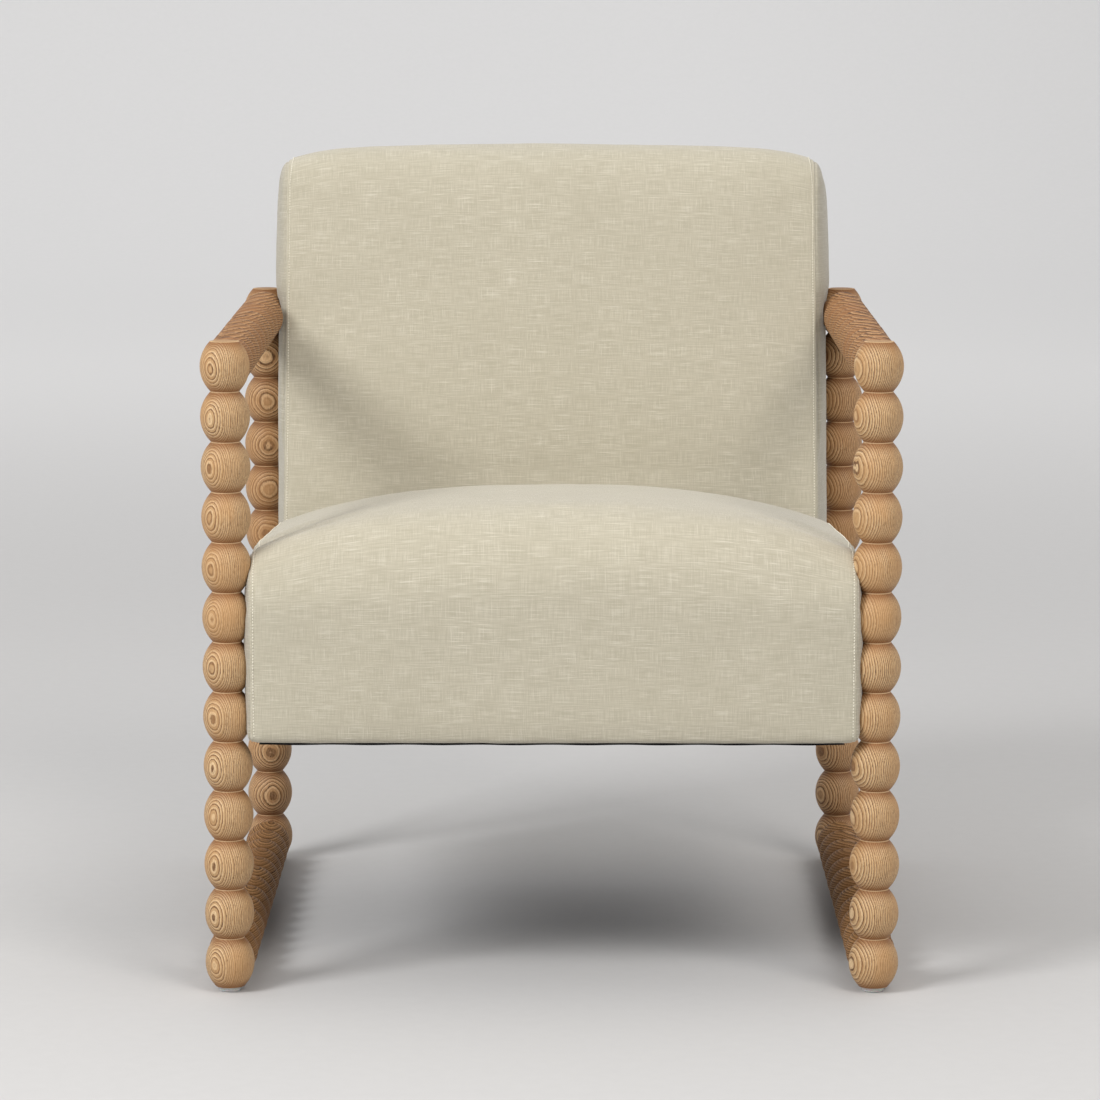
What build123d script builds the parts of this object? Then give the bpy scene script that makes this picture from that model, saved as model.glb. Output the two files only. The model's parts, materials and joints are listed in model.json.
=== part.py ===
from build123d import *
import math
import os

# Upholstered armchair between two square side frames of bead-turned wood. Millimetres.
# The chair is laid out with Y measured rearwards from the front posts' axes and Z up from the
# floor. Each piece is shifted at export, so that the origin is under the middle of the chair.

# ---- Driving dimensions: side frames ----
PITCH = 50.0  # length of one turned bead, neck to neck
BEAD_R = 24.8  # largest radius of a bead
NECK_R = 14.0  # radius at the sharp neck between two beads
POST_BEADS = 13  # beads in a post, corner beads included
RAIL_BEADS = 12  # beads in an arm rail or base rail
POST_X = 323.0  # side frame's plane, either side of the middle
FRAME_DEPTH = 650.0  # front post axis to rear post axis
GLIDE_H = 5.0  # floor glide under each corner bead
GLIDE_R = 11.0
NAIL_R = 1.2
NAIL_TIP = 21.0  # nail point above the floor
NAIL_HEAD_R = 3.2
SOCKET_DEPTH = 6.0  # how far a rail's end neck is let into a corner bead
SOCKET_FIT = 0.1  # radial clearance of that end
DOWEL_R = 6.0
DOWEL_LENGTH = 46.0
DOWEL_IN_POST = 22.0
GLUE_GAP = 0.05  # radial room for glue round a dowel
GLIDE_EDGE = (2.0, 1.5)  # bevel round a glide's foot, across and up
NAIL_HEAD_Z = (0.6, 2.0)  # underside and top of a nail's head
NAIL_RECESS_H = 2.0
NAIL_POINT = 3.0  # length of the nail's taper
BOLT_ROOM = 4.0  # bolt hole beyond its insert

# ---- Driving dimensions: upholstered body ----
BODY_HALF = 297.6  # half width between the side frames, clear of the beads
COVER_T = 1.6
SIDE_PAD = 4.2  # padding between a side rail and the cover
SEAT_FRONT = -27.0  # seat's front face, ahead of the front post axis
SEAT_BOTTOM = 255.0  # height of the seat's front bottom edge
SEAT_THICK = 196.0  # seat slab at its sides
SEAT_CROWN = 42.0  # extra height in the middle of the seat
SEAT_PITCH = 4.5  # degrees that the seat falls rearwards
SEAT_NOSE_R = 60.0  # round-over of the seat's front top edge
BACK_Y = 505.0  # a point on the back's front face
BACK_Z = 408.0
BACK_RAKE = 15.0  # degrees that the back leans rearwards
BACK_THICK = 125.0
BACK_TOP = 423.0  # back's top edge at its sides, up the slab from that point
BACK_CROWN = 9.0  # extra height in the middle of the back's top edge
BACK_CORNER_R = 25.0  # top corners, seen from the front
BACK_NOSE_R = 38.0  # front top edge
BACK_TAIL_R = 30.0  # rear top edge
BODY_GAP = 0.4  # between the seat cushion and the back
OPENING = (-5.0, 8.0)  # where the seat's filling passes into the back cover, through its thickness

# ---- Driving dimensions: frames inside ----
BOARD = 22.0  # thickness of the hardwood rails and stiles
SEAT_RAIL_LOW = 3.0  # rails' lower edge above the seat's underside
SEAT_RAIL_TOP = 98.0
FRONT_PAD = 12.0
DECK_LOW = 106.0  # deck pad over the springs
DECK_TOP = 109.0
NOTCH_LONG = 46.0  # clearance for the bolt heads at the front rail's upper ends
NOTCH_LOW = 50.0
BACK_FOAM = 57.0
WEB_T = 1.5
BACK_PANEL = 3.0
STILE_TOP = 394.0
TOP_RAIL_H = 70.0
TACK_RAIL_LOW = 5.0
TACK_RAIL_H = 60.0
DUST_T = 1.0
DUST_GAP = 0.2  # below the body
DUST_MARGIN = 4.0  # ahead of the dust cover, behind the seat's front edge
DUST_REAR_MARGIN = 5.0
PAD_GAP = 0.1  # between padding and its neighbours
FACE_GAP = 0.2  # between padding and the cover's face
PAD_LOW = 1.5  # padding's lower edge above the underside
STRAP_V = (75.0, 140.0, 205.0, 270.0)  # lower edges of the webbing straps, up the back
STRAP_W = 50.0
STRAP_MARGIN = 3.0
PANEL_DROP = 14.0  # closing board's top edge below the stiles' top

# ---- Driving dimensions: fasteners and springs ----
FRONT_BOLT_Z = 330.0  # bead centres that take a bolt
REAR_BOLT_Z = (530.0, 580.0)
BOLT_R = 3.95
BOLT_HEAD_R = 6.5
BOLT_HEAD_H = 8.0
HEX_R = 3.4
HEX_DEPTH = 5.0
WASHER_R = 9.0
WASHER_T = 1.6
INSERT_R = 6.0
INSERT_LONG = 16.0
SPACER_R = 8.0
SPACER_BORE = 4.3
SPOT_R = 8.6
SPOT_DEPTH = 2.0  # flat spot on the bead that the spacer stands on
SPRING_X = (-208.0, -104.0, 0.0, 104.0, 208.0)
WIRE_R = 1.9
SPRING_BAR = 34.0  # straight bar of a sinuous spring, across the seat
SPRING_BEND_R = 9.0
CLIP_W = 14.0
CLIP_RISE = 3.6  # spring wire's axis above the rail's top
CLIP_T = 1.0
CLIP_FOOT = 17.0
CLIP_FOOT_SHIFT = 2.0
CLIP_NECK = 2.4
CLIP_RING = (0.2, 1.4)  # hook's inner and outer radius beyond the wire's
CLIP_MOUTH = (8.0, 1.6)  # hook's opening
CLIP_NECK_GAP = 0.4
FRAME_DOWEL_R = 5.0
FRAME_DOWEL_LONG = 56.0
FRAME_DOWEL_INSET = 14.0  # dowel's end below the side rail's outer face
FRONT_DOWEL_W = (16.0, 38.0)  # dowels above the rails' lower edge: front rail to side rail
SIDE_DOWEL_W = 24.0  # side rail to stile, from both edges
TOP_DOWEL_V = 16.0  # top rail, from both edges
TACK_DOWEL_V = (15.0, 45.0)
REAR_DOWEL_W = (40.0, 56.0)
BLOCK_LEG = 62.0  # corner glue block
BLOCK_H = 36.0
BLOCK_LIFT = 2.0  # block's lower face above the rails' lower edge
SIDE_SCREW = (0.37, 0.62, 0.3)  # screw's place as shares of the leg, leg and height
CROSS_SCREW = (0.62, 0.37, 0.7)
SCREW_R = 2.0
SCREW_HEAD_R = 4.0
SCREW_LONG = 38.0
SCREW_POINT = 5.0
STAPLE_W = 11.0
STAPLE_LEG = 6.0
STAPLE_WIRE = 0.8
STAPLE_X = range(-240, 241, 80)  # along the front and rear rails
STAPLE_U = range(70, 511, 88)  # along the side rails
SLEEVE_FIT = 0.3  # radial clearance round a bolt or its sleeve
THREAD_FIT = 0.02  # between a bolt and its insert

# ---- Helpers' sizes ----
OVERCUT = 1.0  # how far a cutter passes the face that it opens
FAR = 800.0  # more than any length in the chair
BELOW = 5.0  # how far a cross-section's outline reaches below its slab

# ---- Worked out from them ----
BASE_Z = GLIDE_H + PITCH / 2
ARM_Z = BASE_Z + (POST_BEADS - 1) * PITCH
RAIL_OUT = BODY_HALF - COVER_T - SIDE_PAD
RAIL_IN = RAIL_OUT - BOARD
SEAT_A = math.radians(SEAT_PITCH)
BACK_A = math.radians(BACK_RAKE)
STILE_FRONT = COVER_T + BACK_FOAM + WEB_T
STILE_REAR = BACK_THICK - COVER_T - BACK_PANEL
FRONT_RAIL_Y = SEAT_FRONT + COVER_T + FRONT_PAD
SIDES = {"left": -1, "right": 1}
ENDS = {"front": 0.0, "rear": FRAME_DEPTH}

os.makedirs("parts", exist_ok=True)


# ---- Places on the two slabs ----
def seat_at(u, w):
    """Point in side view, u along the seat slab from its front and w up from its underside."""
    y = SEAT_FRONT + u * math.cos(SEAT_A) + w * math.sin(SEAT_A)
    z = SEAT_BOTTOM - u * math.sin(SEAT_A) + w * math.cos(SEAT_A)
    return (y, z)


def seat_uw(y, z):
    """How far along the seat slab, and how high above its underside, a side-view point lies."""
    dy, dz = y - SEAT_FRONT, z - SEAT_BOTTOM
    u = dy * math.cos(SEAT_A) - dz * math.sin(SEAT_A)
    w = dy * math.sin(SEAT_A) + dz * math.cos(SEAT_A)
    return (u, w)


def back_at(t, v):
    """Point in side view, t rearwards through the back slab and v up along it."""
    y = BACK_Y + t * math.cos(BACK_A) + v * math.sin(BACK_A)
    z = BACK_Z - t * math.sin(BACK_A) + v * math.cos(BACK_A)
    return (y, z)


def meet(t, w):
    """Point where depth t of the back slab crosses height w of the seat slab."""
    at_zero = seat_uw(*back_at(t, 0))[1]
    per_v = math.cos(BACK_A - SEAT_A)
    return back_at(t, (w - at_zero) / per_v)


def seat_at_y(y, w):
    """Point at a given Y on the line w above the seat slab's underside."""
    u = (y - SEAT_FRONT - w * math.sin(SEAT_A)) / math.cos(SEAT_A)
    return seat_at(u, w)


# ---- Shape helpers ----
def slab(points, x0, x1):
    """Side-view polygon carried from x0 to x1."""
    outline = Polyline(*points, close=True)
    return extrude(Plane.YZ.offset(x0) * make_face(outline), amount=x1 - x0)


def rounded_slab(points, radii, half):
    """Side-view outline with a radius at each corner, carried to both sides of the middle."""
    outline = FilletPolyline(*points, radius=radii, close=True)
    return extrude(Plane.YZ * make_face(outline), amount=half, both=True)


def rod_x(y, z, r, x0, x1):
    """Round bar along X."""
    return extrude(Plane.YZ.offset(x0) * Pos(y, z) * Circle(r), amount=x1 - x0)


def tube_x(y, z, r_out, r_in, x0, x1):
    """Round sleeve along X."""
    return rod_x(y, z, r_out, x0, x1) - rod_x(y, z, r_in, x0, x1)


def rod_y(x, z, r, y0, y1):
    """Round bar along Y."""
    return extrude(Plane.XZ.offset(-y0) * Pos(x, z) * Circle(r), amount=-(y1 - y0))


def mirrored(piece, side):
    """The piece as drawn for +X, or its mirror image for the other side."""
    return piece if side > 0 else mirror(piece, about=Plane.YZ)


def save(name, *pieces):
    """Shifts the pieces to the part's origin and writes them as one STEP."""
    solids = [s.moved(Location((0, -MIDDLE_Y, 0))) for p in pieces for s in p.solids()]
    group = Compound(children=solids) if len(solids) > 1 else solids[0]
    group.label = name
    export_step(group, f"parts/{name}.step")


# ---- Turned wood ----
def turning(beads, z0, lead_in=0.0):
    """Stack of beads about Z from z0 up, with a plain neck of length lead_in at both ends."""
    arcs = []
    for i in range(beads):
        low = z0 + i * PITCH
        start = (NECK_R, low)
        middle = (BEAD_R, low + PITCH / 2)
        end = (NECK_R, low + PITCH)
        arcs.append(ThreePointArc(start, middle, end))
    top = z0 + beads * PITCH
    close = Polyline((NECK_R, top), (0, top), (0, z0), (NECK_R, z0))
    stack = revolve(Plane.XZ * make_face([*arcs, *close.edges()]), axis=Axis.Z)
    if lead_in:
        core = Cylinder(NECK_R - SOCKET_FIT, top - z0 + 2 * lead_in)
        stack += Pos(0, 0, (z0 + top) / 2) * core
    return stack


def corner_dowel(y_joint, inward, x, z, gap=0.0):
    """Dowel across a rail-to-post joint. inward is +1 at the front post and -1 at the rear."""
    y0 = y_joint - inward * DOWEL_IN_POST
    y1 = y0 + inward * DOWEL_LENGTH
    low, high = sorted((y0, y1))
    return rod_y(x, z, DOWEL_R + gap, low - gap, high + gap)


def socket_y(end_y, inward):
    """Y of the flat bottom of a corner bead's socket."""
    return end_y + inward * (PITCH / 2 - SOCKET_DEPTH)


def bolt_places(end):
    """Heights of the bolts into the posts at one end of the chair."""
    return (FRONT_BOLT_Z,) if end == "front" else REAR_BOLT_Z


def post(end, side):
    """One post, with sockets for the two rails, dowel holes and bolt holes."""
    y = ENDS[end]
    inward = 1 if end == "front" else -1
    body = Pos(POST_X, y, 0) * turning(POST_BEADS, GLIDE_H)
    joint = socket_y(y, inward)
    for z in (BASE_Z, ARM_Z):
        low, high = sorted((joint, y + inward * (PITCH / 2 + OVERCUT)))
        body -= rod_y(POST_X, z, NECK_R, low, high)
        body -= corner_dowel(joint, inward, POST_X, z, GLUE_GAP)
    flat_x = POST_X - BEAD_R + SPOT_DEPTH
    for z in bolt_places(end):
        body -= rod_x(y, z, SPOT_R, flat_x - SPOT_DEPTH - OVERCUT, flat_x)
        body -= rod_x(y, z, INSERT_R, flat_x - OVERCUT, flat_x + INSERT_LONG)
        body -= rod_x(y, z, BOLT_R + SOCKET_FIT, flat_x, flat_x + INSERT_LONG + BOLT_ROOM)
    body -= Pos(POST_X, y, 0) * Cylinder(NAIL_R + SOCKET_FIT, 2 * NAIL_TIP)
    return mirrored(body, side)


def rail(z, side):
    """Arm rail or base rail along Y, with a dowel hole in each end."""
    body = Rot(-90, 0, 0) * turning(RAIL_BEADS, 0, SOCKET_DEPTH)
    body = Pos(POST_X, PITCH / 2, z) * body
    for end, y in ENDS.items():
        inward = 1 if end == "front" else -1
        body -= corner_dowel(socket_y(y, inward), inward, POST_X, z, GLUE_GAP)
    return mirrored(body, side)


def floor_glide(y, side):
    """Domed plastic disc under a corner bead, with a hole for its nail."""
    across, up = GLIDE_EDGE
    outline = [(0, 0), (GLIDE_R - across, 0), (GLIDE_R, up), (GLIDE_R, GLIDE_H), (0, GLIDE_H)]
    disc = revolve(Plane.XZ * make_face(Polyline(*outline, close=True)), axis=Axis.Z)
    disc -= Cylinder(NAIL_R + SOCKET_FIT, 3 * GLIDE_H)
    disc -= Cylinder(NAIL_HEAD_R + FACE_GAP, 2 * NAIL_RECESS_H)
    return Pos(side * POST_X, y, 0) * disc


def glide_nail(y, side):
    """Nail that holds a glide: a flat head in the glide's recess and a pointed shank."""
    low, high = NAIL_HEAD_Z
    outline = [
        (0, low), (NAIL_HEAD_R, low), (NAIL_HEAD_R, high), (NAIL_R, high),
        (NAIL_R, NAIL_TIP - NAIL_POINT), (0, NAIL_TIP),
    ]
    nail = revolve(Plane.XZ * make_face(Polyline(*outline, close=True)), axis=Axis.Z)
    return Pos(side * POST_X, y, 0) * nail


# ---- Soft slabs ----
def seat_block(inset):
    """Outer form of the seat cushion, taken in by inset everywhere but at the rear."""
    front = SEAT_FRONT + inset
    high = SEAT_THICK + SEAT_CROWN - inset
    low = -OVERCUT if inset else 0
    points = [
        seat_at_y(front, low), seat_at_y(front, high), meet(-BODY_GAP, high), meet(-BODY_GAP, low),
    ]
    half = BODY_HALF - inset
    side_form = rounded_slab(points, [0, SEAT_NOSE_R - inset, 0, 0], half)
    side_top = SEAT_THICK - inset
    arc = ThreePointArc((-half, side_top), (0, high), (half, side_top))
    legs = Polyline((half, side_top), (half, -BELOW), (-half, -BELOW), (-half, side_top))
    plane = Plane(
        origin=(0, SEAT_FRONT, SEAT_BOTTOM), x_dir=(1, 0, 0),
        z_dir=(0, -math.cos(SEAT_A), math.sin(SEAT_A)),
    )
    front_form = extrude(plane * make_face([arc, *legs.edges()]), amount=FAR, both=True)
    return side_form & front_form


def back_block(inset):
    """Outer form of the back slab, taken in by inset everywhere but at the bottom."""
    high = BACK_TOP + BACK_CROWN - inset
    low = -OVERCUT if inset else 0
    far = BACK_THICK - inset
    points = [meet(inset, low), back_at(inset, high), back_at(far, high), meet(far, low)]
    half = BODY_HALF - inset
    radii = [0, BACK_NOSE_R - inset, BACK_TAIL_R - inset, 0]
    side_form = rounded_slab(points, radii, half)
    side_top = BACK_TOP - inset
    arc = ThreePointArc((-half, side_top), (0, high), (half, side_top))
    legs = Polyline((half, side_top), (half, -FAR), (-half, -FAR), (-half, side_top))
    face = make_face([arc, *legs.edges()])
    corners = face.vertices().sort_by(Axis.Y)[-2:]
    face = fillet(corners, radius=BACK_CORNER_R - inset)
    plane = Plane(
        origin=(0, BACK_Y, BACK_Z), x_dir=(1, 0, 0),
        z_dir=(0, -math.cos(BACK_A), math.sin(BACK_A)),
    )
    front_form = extrude(plane * face, amount=FAR, both=True)
    return side_form & front_form


def sleeve_holes(r):
    """Cutters through the upholstery at every bolt, on both sides."""
    cutters = []
    for side in SIDES.values():
        for end, y in ENDS.items():
            for z in bolt_places(end):
                x0, x1 = sorted((side * (RAIL_IN - OVERCUT), side * (BODY_HALF + OVERCUT)))
                cutters.append(rod_x(y, z, r, x0, x1))
    return cutters


def above_deck(w):
    """Everything higher than w on the seat slab."""
    points = [seat_at(-FAR, w), seat_at(FAR, w), seat_at(FAR, FAR), seat_at(-FAR, FAR)]
    return slab(points, -FAR, FAR)


def seat_cover():
    """Sewn skin over the front, top and sides of the seat, open below and behind."""
    skin = seat_block(0) - seat_block(COVER_T)
    for cutter in sleeve_holes(SPACER_R + SLEEVE_FIT):
        skin -= cutter
    return skin


def seat_foam():
    """Foam slab over the deck pad, crowned across the seat."""
    return seat_block(COVER_T) & above_deck(DECK_TOP)


def back_cover():
    """Sewn skin over the front, top, sides and rear of the back, open below."""
    skin = back_block(0) - back_block(COVER_T)
    for cutter in sleeve_holes(SPACER_R + SLEEVE_FIT):
        skin -= cutter
    t0, t1 = OPENING
    side_cut = [meet(t0, -BELOW), meet(t0, DECK_TOP), meet(t1, DECK_TOP), meet(t1, -BELOW)]
    return skin - slab(side_cut, -RAIL_OUT, RAIL_OUT)


def back_foam():
    """Foam in front of the webbing and over the top of the frame."""
    block = back_block(COVER_T) & above_deck(DECK_TOP)
    web, over = STILE_FRONT - WEB_T, STILE_TOP + OVERCUT
    behind = [back_at(web, -FAR), back_at(web, over), back_at(FAR, over), back_at(FAR, -FAR)]
    return block - slab(behind, -FAR, FAR)


# ---- Seat frame ----
def seat_side_rail(side):
    """Side rail from the front rail's face to the stile, with holes for bolt and dowels."""
    points = [
        seat_at_y(FRONT_RAIL_Y, SEAT_RAIL_LOW), seat_at_y(FRONT_RAIL_Y, SEAT_RAIL_TOP),
        meet(STILE_FRONT, SEAT_RAIL_TOP), meet(STILE_FRONT, SEAT_RAIL_LOW),
    ]
    body = slab(points, RAIL_IN, RAIL_OUT)
    body -= bolt_hole(0, FRONT_BOLT_Z)
    for cutter in seat_dowels(1, GLUE_GAP) + block_screws(1, GLUE_GAP):
        body -= cutter
    return mirrored(without_staples(body), side)


def bolt_hole(y, z):
    """Clearance hole across a side rail or stile."""
    return rod_x(y, z, BOLT_R + SLEEVE_FIT, RAIL_IN - OVERCUT, RAIL_OUT + OVERCUT)


def cross_dowel(y, z, gap):
    """Dowel along X from a side rail or stile into a cross rail."""
    x1 = RAIL_OUT - FRAME_DOWEL_INSET
    return rod_x(y, z, FRAME_DOWEL_R + gap, x1 - FRAME_DOWEL_LONG - gap, x1 + gap)


def front_dowel_places():
    """Side-view places of the dowels between the front rail and a side rail."""
    y = FRONT_RAIL_Y + BOARD / 2
    return [seat_at_y(y, SEAT_RAIL_LOW + w) for w in FRONT_DOWEL_W]


def seat_dowels(side, gap=0.0):
    """Dowels at one side: front rail to side rail across the seat, side rail to stile along it."""
    pieces = []
    for y, z in front_dowel_places():
        pieces.append(cross_dowel(y, z, gap))
    for w in (SEAT_RAIL_LOW + SIDE_DOWEL_W, SEAT_RAIL_TOP - SIDE_DOWEL_W):
        y, z = meet(STILE_FRONT, w)
        bar = Cylinder(FRAME_DOWEL_R + gap, FRAME_DOWEL_LONG + 2 * gap)
        bar = Rot(-90 - SEAT_PITCH, 0, 0) * bar
        pieces.append(Pos((RAIL_IN + RAIL_OUT) / 2, y, z) * bar)
    return [mirrored(p, side) for p in pieces]


def seat_front_rail():
    """Front rail between the side rails, notched at its upper ends for the bolt heads."""
    y0, y1 = FRONT_RAIL_Y, FRONT_RAIL_Y + BOARD
    points = [
        seat_at_y(y0, SEAT_RAIL_LOW), seat_at_y(y0, SEAT_RAIL_TOP),
        seat_at_y(y1, SEAT_RAIL_TOP), seat_at_y(y1, SEAT_RAIL_LOW),
    ]
    body = slab(points, -RAIL_IN, RAIL_IN)
    for side in SIDES.values():
        x0, x1 = sorted((side * (RAIL_IN - NOTCH_LONG), side * (RAIL_IN + OVERCUT)))
        ahead, behind = y0 - BOARD, y1 + BOARD
        notch = [
            seat_at_y(ahead, NOTCH_LOW), seat_at_y(ahead, SEAT_THICK),
            seat_at_y(behind, SEAT_THICK), seat_at_y(behind, NOTCH_LOW),
        ]
        body -= slab(notch, x0, x1)
        for cutter in seat_dowels(side, GLUE_GAP) + block_screws(side, GLUE_GAP):
            body -= cutter
    return without_staples(body)


def seat_rear_rail():
    """Rear rail between the stiles, in their plane."""
    points = [
        meet(STILE_FRONT, SEAT_RAIL_LOW), meet(STILE_FRONT, SEAT_RAIL_TOP),
        meet(STILE_FRONT + BOARD, SEAT_RAIL_TOP), meet(STILE_FRONT + BOARD, SEAT_RAIL_LOW),
    ]
    body = slab(points, -RAIL_IN, RAIL_IN)
    for side in SIDES.values():
        for cutter in back_dowels(side, GLUE_GAP) + block_screws(side, GLUE_GAP):
            body -= cutter
    return without_staples(body)


def block_frame(rear):
    """Place of a corner block: its square corner, lower face, tilted with the seat."""
    if rear:
        y, z = meet(STILE_FRONT, SEAT_RAIL_LOW + BLOCK_LIFT)
    else:
        y, z = seat_at_y(FRONT_RAIL_Y + BOARD, SEAT_RAIL_LOW + BLOCK_LIFT)
    return Pos(RAIL_IN, y, z) * Rot(-SEAT_PITCH, 0, 0)


def block_screw(rear, along, gap=0.0):
    """Countersunk screw through a corner block, into the side rail or the cross rail."""
    r, head = SCREW_R + gap, SCREW_HEAD_R + gap
    outline = [
        (0, 0), (head, 0), (r, SCREW_HEAD_R - SCREW_R), (r, SCREW_LONG - SCREW_POINT),
        (0, SCREW_LONG),
    ]
    screw = revolve(Plane.XZ * make_face(Polyline(*outline, close=True)), axis=Axis.Z)
    turn = -1 if rear else 1
    if along == "side":
        share, lie = SIDE_SCREW, Rot(0, 90, 0)
    else:
        share, lie = CROSS_SCREW, Rot(turn * 90, 0, 0)
    place = Pos(-BLOCK_LEG * share[0], turn * BLOCK_LEG * share[1], BLOCK_H * share[2])
    return block_frame(rear) * place * lie * screw


def block_screws(side, gap=0.0):
    """All four screws of the two corner blocks on one side."""
    return [
        mirrored(block_screw(rear, along, gap), side)
        for rear in (False, True) for along in ("side", "cross")
    ]


def seat_corner_block(side, rear):
    """Triangular glue block in a corner of the seat frame, with two screw holes."""
    turn = -1 if rear else 1
    face = make_face(Polyline((0, 0), (-BLOCK_LEG, 0), (0, turn * BLOCK_LEG), close=True))
    block = block_frame(rear) * extrude(face, amount=BLOCK_H)
    for along in ("side", "cross"):
        block -= block_screw(rear, along, GLUE_GAP)
    return mirrored(block, side)


def sinuous_spring(x):
    """Zigzag wire from the front rail's top to the rear rail's top."""
    first = clip_u(False)
    last = clip_u(True)
    bends = 2 * int((last - first) / (4 * SPRING_BEND_R) + 0.5)
    step = (last - first) / bends
    half = SPRING_BAR / 2
    edges = []
    for i in range(bends + 1):
        u = first + i * step
        way = 1 if i % 2 == 0 else -1
        edges.append(Line((-way * half, u), (way * half, u)))
        if i < bends:
            tip = (way * (half + step / 2), u + step / 2)
            edges.append(ThreePointArc((way * half, u), tip, (way * half, u + step)))
    path = Wire(edges)
    plane = Plane(origin=path @ 0, z_dir=path % 0)
    wire = sweep(plane * Circle(WIRE_R), path=path)
    y, z = seat_at(0, SEAT_RAIL_TOP)
    return Pos(x, y, z) * Rot(-SEAT_PITCH, 0, 0) * Pos(0, 0, CLIP_RISE) * wire


def clip_u(rear):
    """Distance along the seat slab of the spring's first or last bar."""
    if rear:
        return seat_uw(*meet(STILE_FRONT + BOARD / 2, SEAT_RAIL_TOP))[0]
    return seat_uw(*seat_at_y(FRONT_RAIL_Y + BOARD / 2, SEAT_RAIL_TOP))[0]


def spring_clip(x, rear):
    """Folded steel clip on a rail: a foot plate and a hook round the spring's end bar."""
    turn = -1 if rear else 1
    inner, outer = CLIP_RING
    mouth = Pos(turn * CLIP_MOUTH[0] / 2, 0) * Rectangle(*CLIP_MOUTH)
    ring = Circle(WIRE_R + outer) - Circle(WIRE_R + inner) - mouth
    hook = extrude(Plane.YZ * ring, amount=CLIP_W / 2, both=True)
    foot_z = CLIP_T / 2 - CLIP_RISE
    foot = Pos(0, -turn * CLIP_FOOT_SHIFT, foot_z) * Box(CLIP_W, CLIP_FOOT, CLIP_T)
    neck_h = CLIP_RISE - WIRE_R - CLIP_NECK_GAP
    neck = Pos(0, 0, neck_h / 2 - CLIP_RISE) * Box(CLIP_W, CLIP_NECK, neck_h)
    y, z = seat_at(clip_u(rear), SEAT_RAIL_TOP)
    lift = Pos(0, 0, CLIP_RISE)
    return Pos(x, y, z) * Rot(-SEAT_PITCH, 0, 0) * lift * (hook + foot + neck)


def deck_pad():
    """Felt sheet over the springs, under the foam."""
    y0 = SEAT_FRONT + COVER_T + FACE_GAP
    high = DECK_TOP - PAD_GAP
    points = [
        seat_at_y(y0, DECK_LOW), seat_at_y(y0, high),
        meet(-BODY_GAP, high), meet(-BODY_GAP, DECK_LOW),
    ]
    half = BODY_HALF - COVER_T - FACE_GAP
    return slab(points, -half, half)


def seat_front_padding():
    """Padding between the front rail and the cover, below the foam slab."""
    y0, y1 = SEAT_FRONT + COVER_T + FACE_GAP, FRONT_RAIL_Y - PAD_GAP
    high = DECK_LOW - FACE_GAP
    points = [
        seat_at_y(y0, PAD_LOW), seat_at_y(y0, high), seat_at_y(y1, high), seat_at_y(y1, PAD_LOW),
    ]
    return slab(points, -RAIL_OUT, RAIL_OUT)


def seat_side_padding(side):
    """Thin padding on a side rail's outer face, holed for the bolt's sleeve."""
    y0 = SEAT_FRONT + COVER_T + FACE_GAP
    high = DECK_LOW - FACE_GAP
    points = [
        seat_at_y(y0, PAD_LOW), seat_at_y(y0, high),
        meet(-BODY_GAP, high), meet(-BODY_GAP, PAD_LOW),
    ]
    return mirrored(side_pad(points, 0, [FRONT_BOLT_Z]), side)


def side_pad(points, y, heights):
    """Side-view outline between a rail's outer face and the cover, holed for the sleeves."""
    pad = slab(points, RAIL_OUT + PAD_GAP, RAIL_OUT + SIDE_PAD - PAD_GAP)
    for z in heights:
        pad -= rod_x(y, z, SPACER_R + SLEEVE_FIT, RAIL_OUT - OVERCUT, BODY_HALF)
    return pad


def dust_cover():
    """Thin cloth panel that closes the underside of the body."""
    rear = BACK_THICK - DUST_REAR_MARGIN
    low, high = DUST_GAP, DUST_GAP + DUST_T
    points = [
        seat_at(DUST_MARGIN, low), seat_at(DUST_MARGIN, high), meet(rear, high), meet(rear, low),
    ]
    half = RAIL_OUT - OVERCUT
    panel = slab(points, -half, half)
    return without_staples(panel)


def staple(x, u, along_x, gap=0.0):
    """Staple through the dust cover into a rail's lower edge."""
    wire = STAPLE_WIRE + 2 * gap
    size = (STAPLE_W, wire, wire) if along_x else (wire, STAPLE_W, wire)
    reach = (STAPLE_W - STAPLE_WIRE) / 2
    dx, dy = (reach, 0) if along_x else (0, reach)
    piece = Box(*size)
    for way in (-1, 1):
        piece += Pos(way * dx, way * dy, STAPLE_LEG / 2) * Box(wire, wire, STAPLE_LEG + 2 * gap)
    y, z = seat_at(u, DUST_GAP - STAPLE_WIRE / 2)
    return Pos(x, y, z) * Rot(-SEAT_PITCH, 0, 0) * piece


def staples(gap=0.0):
    """Row of staples along the lower edge of each seat rail."""
    front_u = seat_uw(*seat_at_y(FRONT_RAIL_Y + BOARD / 2, 0))[0]
    rear_u = seat_uw(*meet(STILE_FRONT + BOARD / 2, SEAT_RAIL_LOW))[0]
    pieces = [staple(x, u, True, gap) for u in (front_u, rear_u) for x in STAPLE_X]
    side_x = (RAIL_IN + RAIL_OUT) / 2
    for x in (-side_x, side_x):
        pieces += [staple(x, u, False, gap) for u in STAPLE_U]
    return pieces


def without_staples(body):
    """The body with a hole for each staple's legs."""
    for piece in staples(GLUE_GAP):
        body -= piece
    return body


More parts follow.
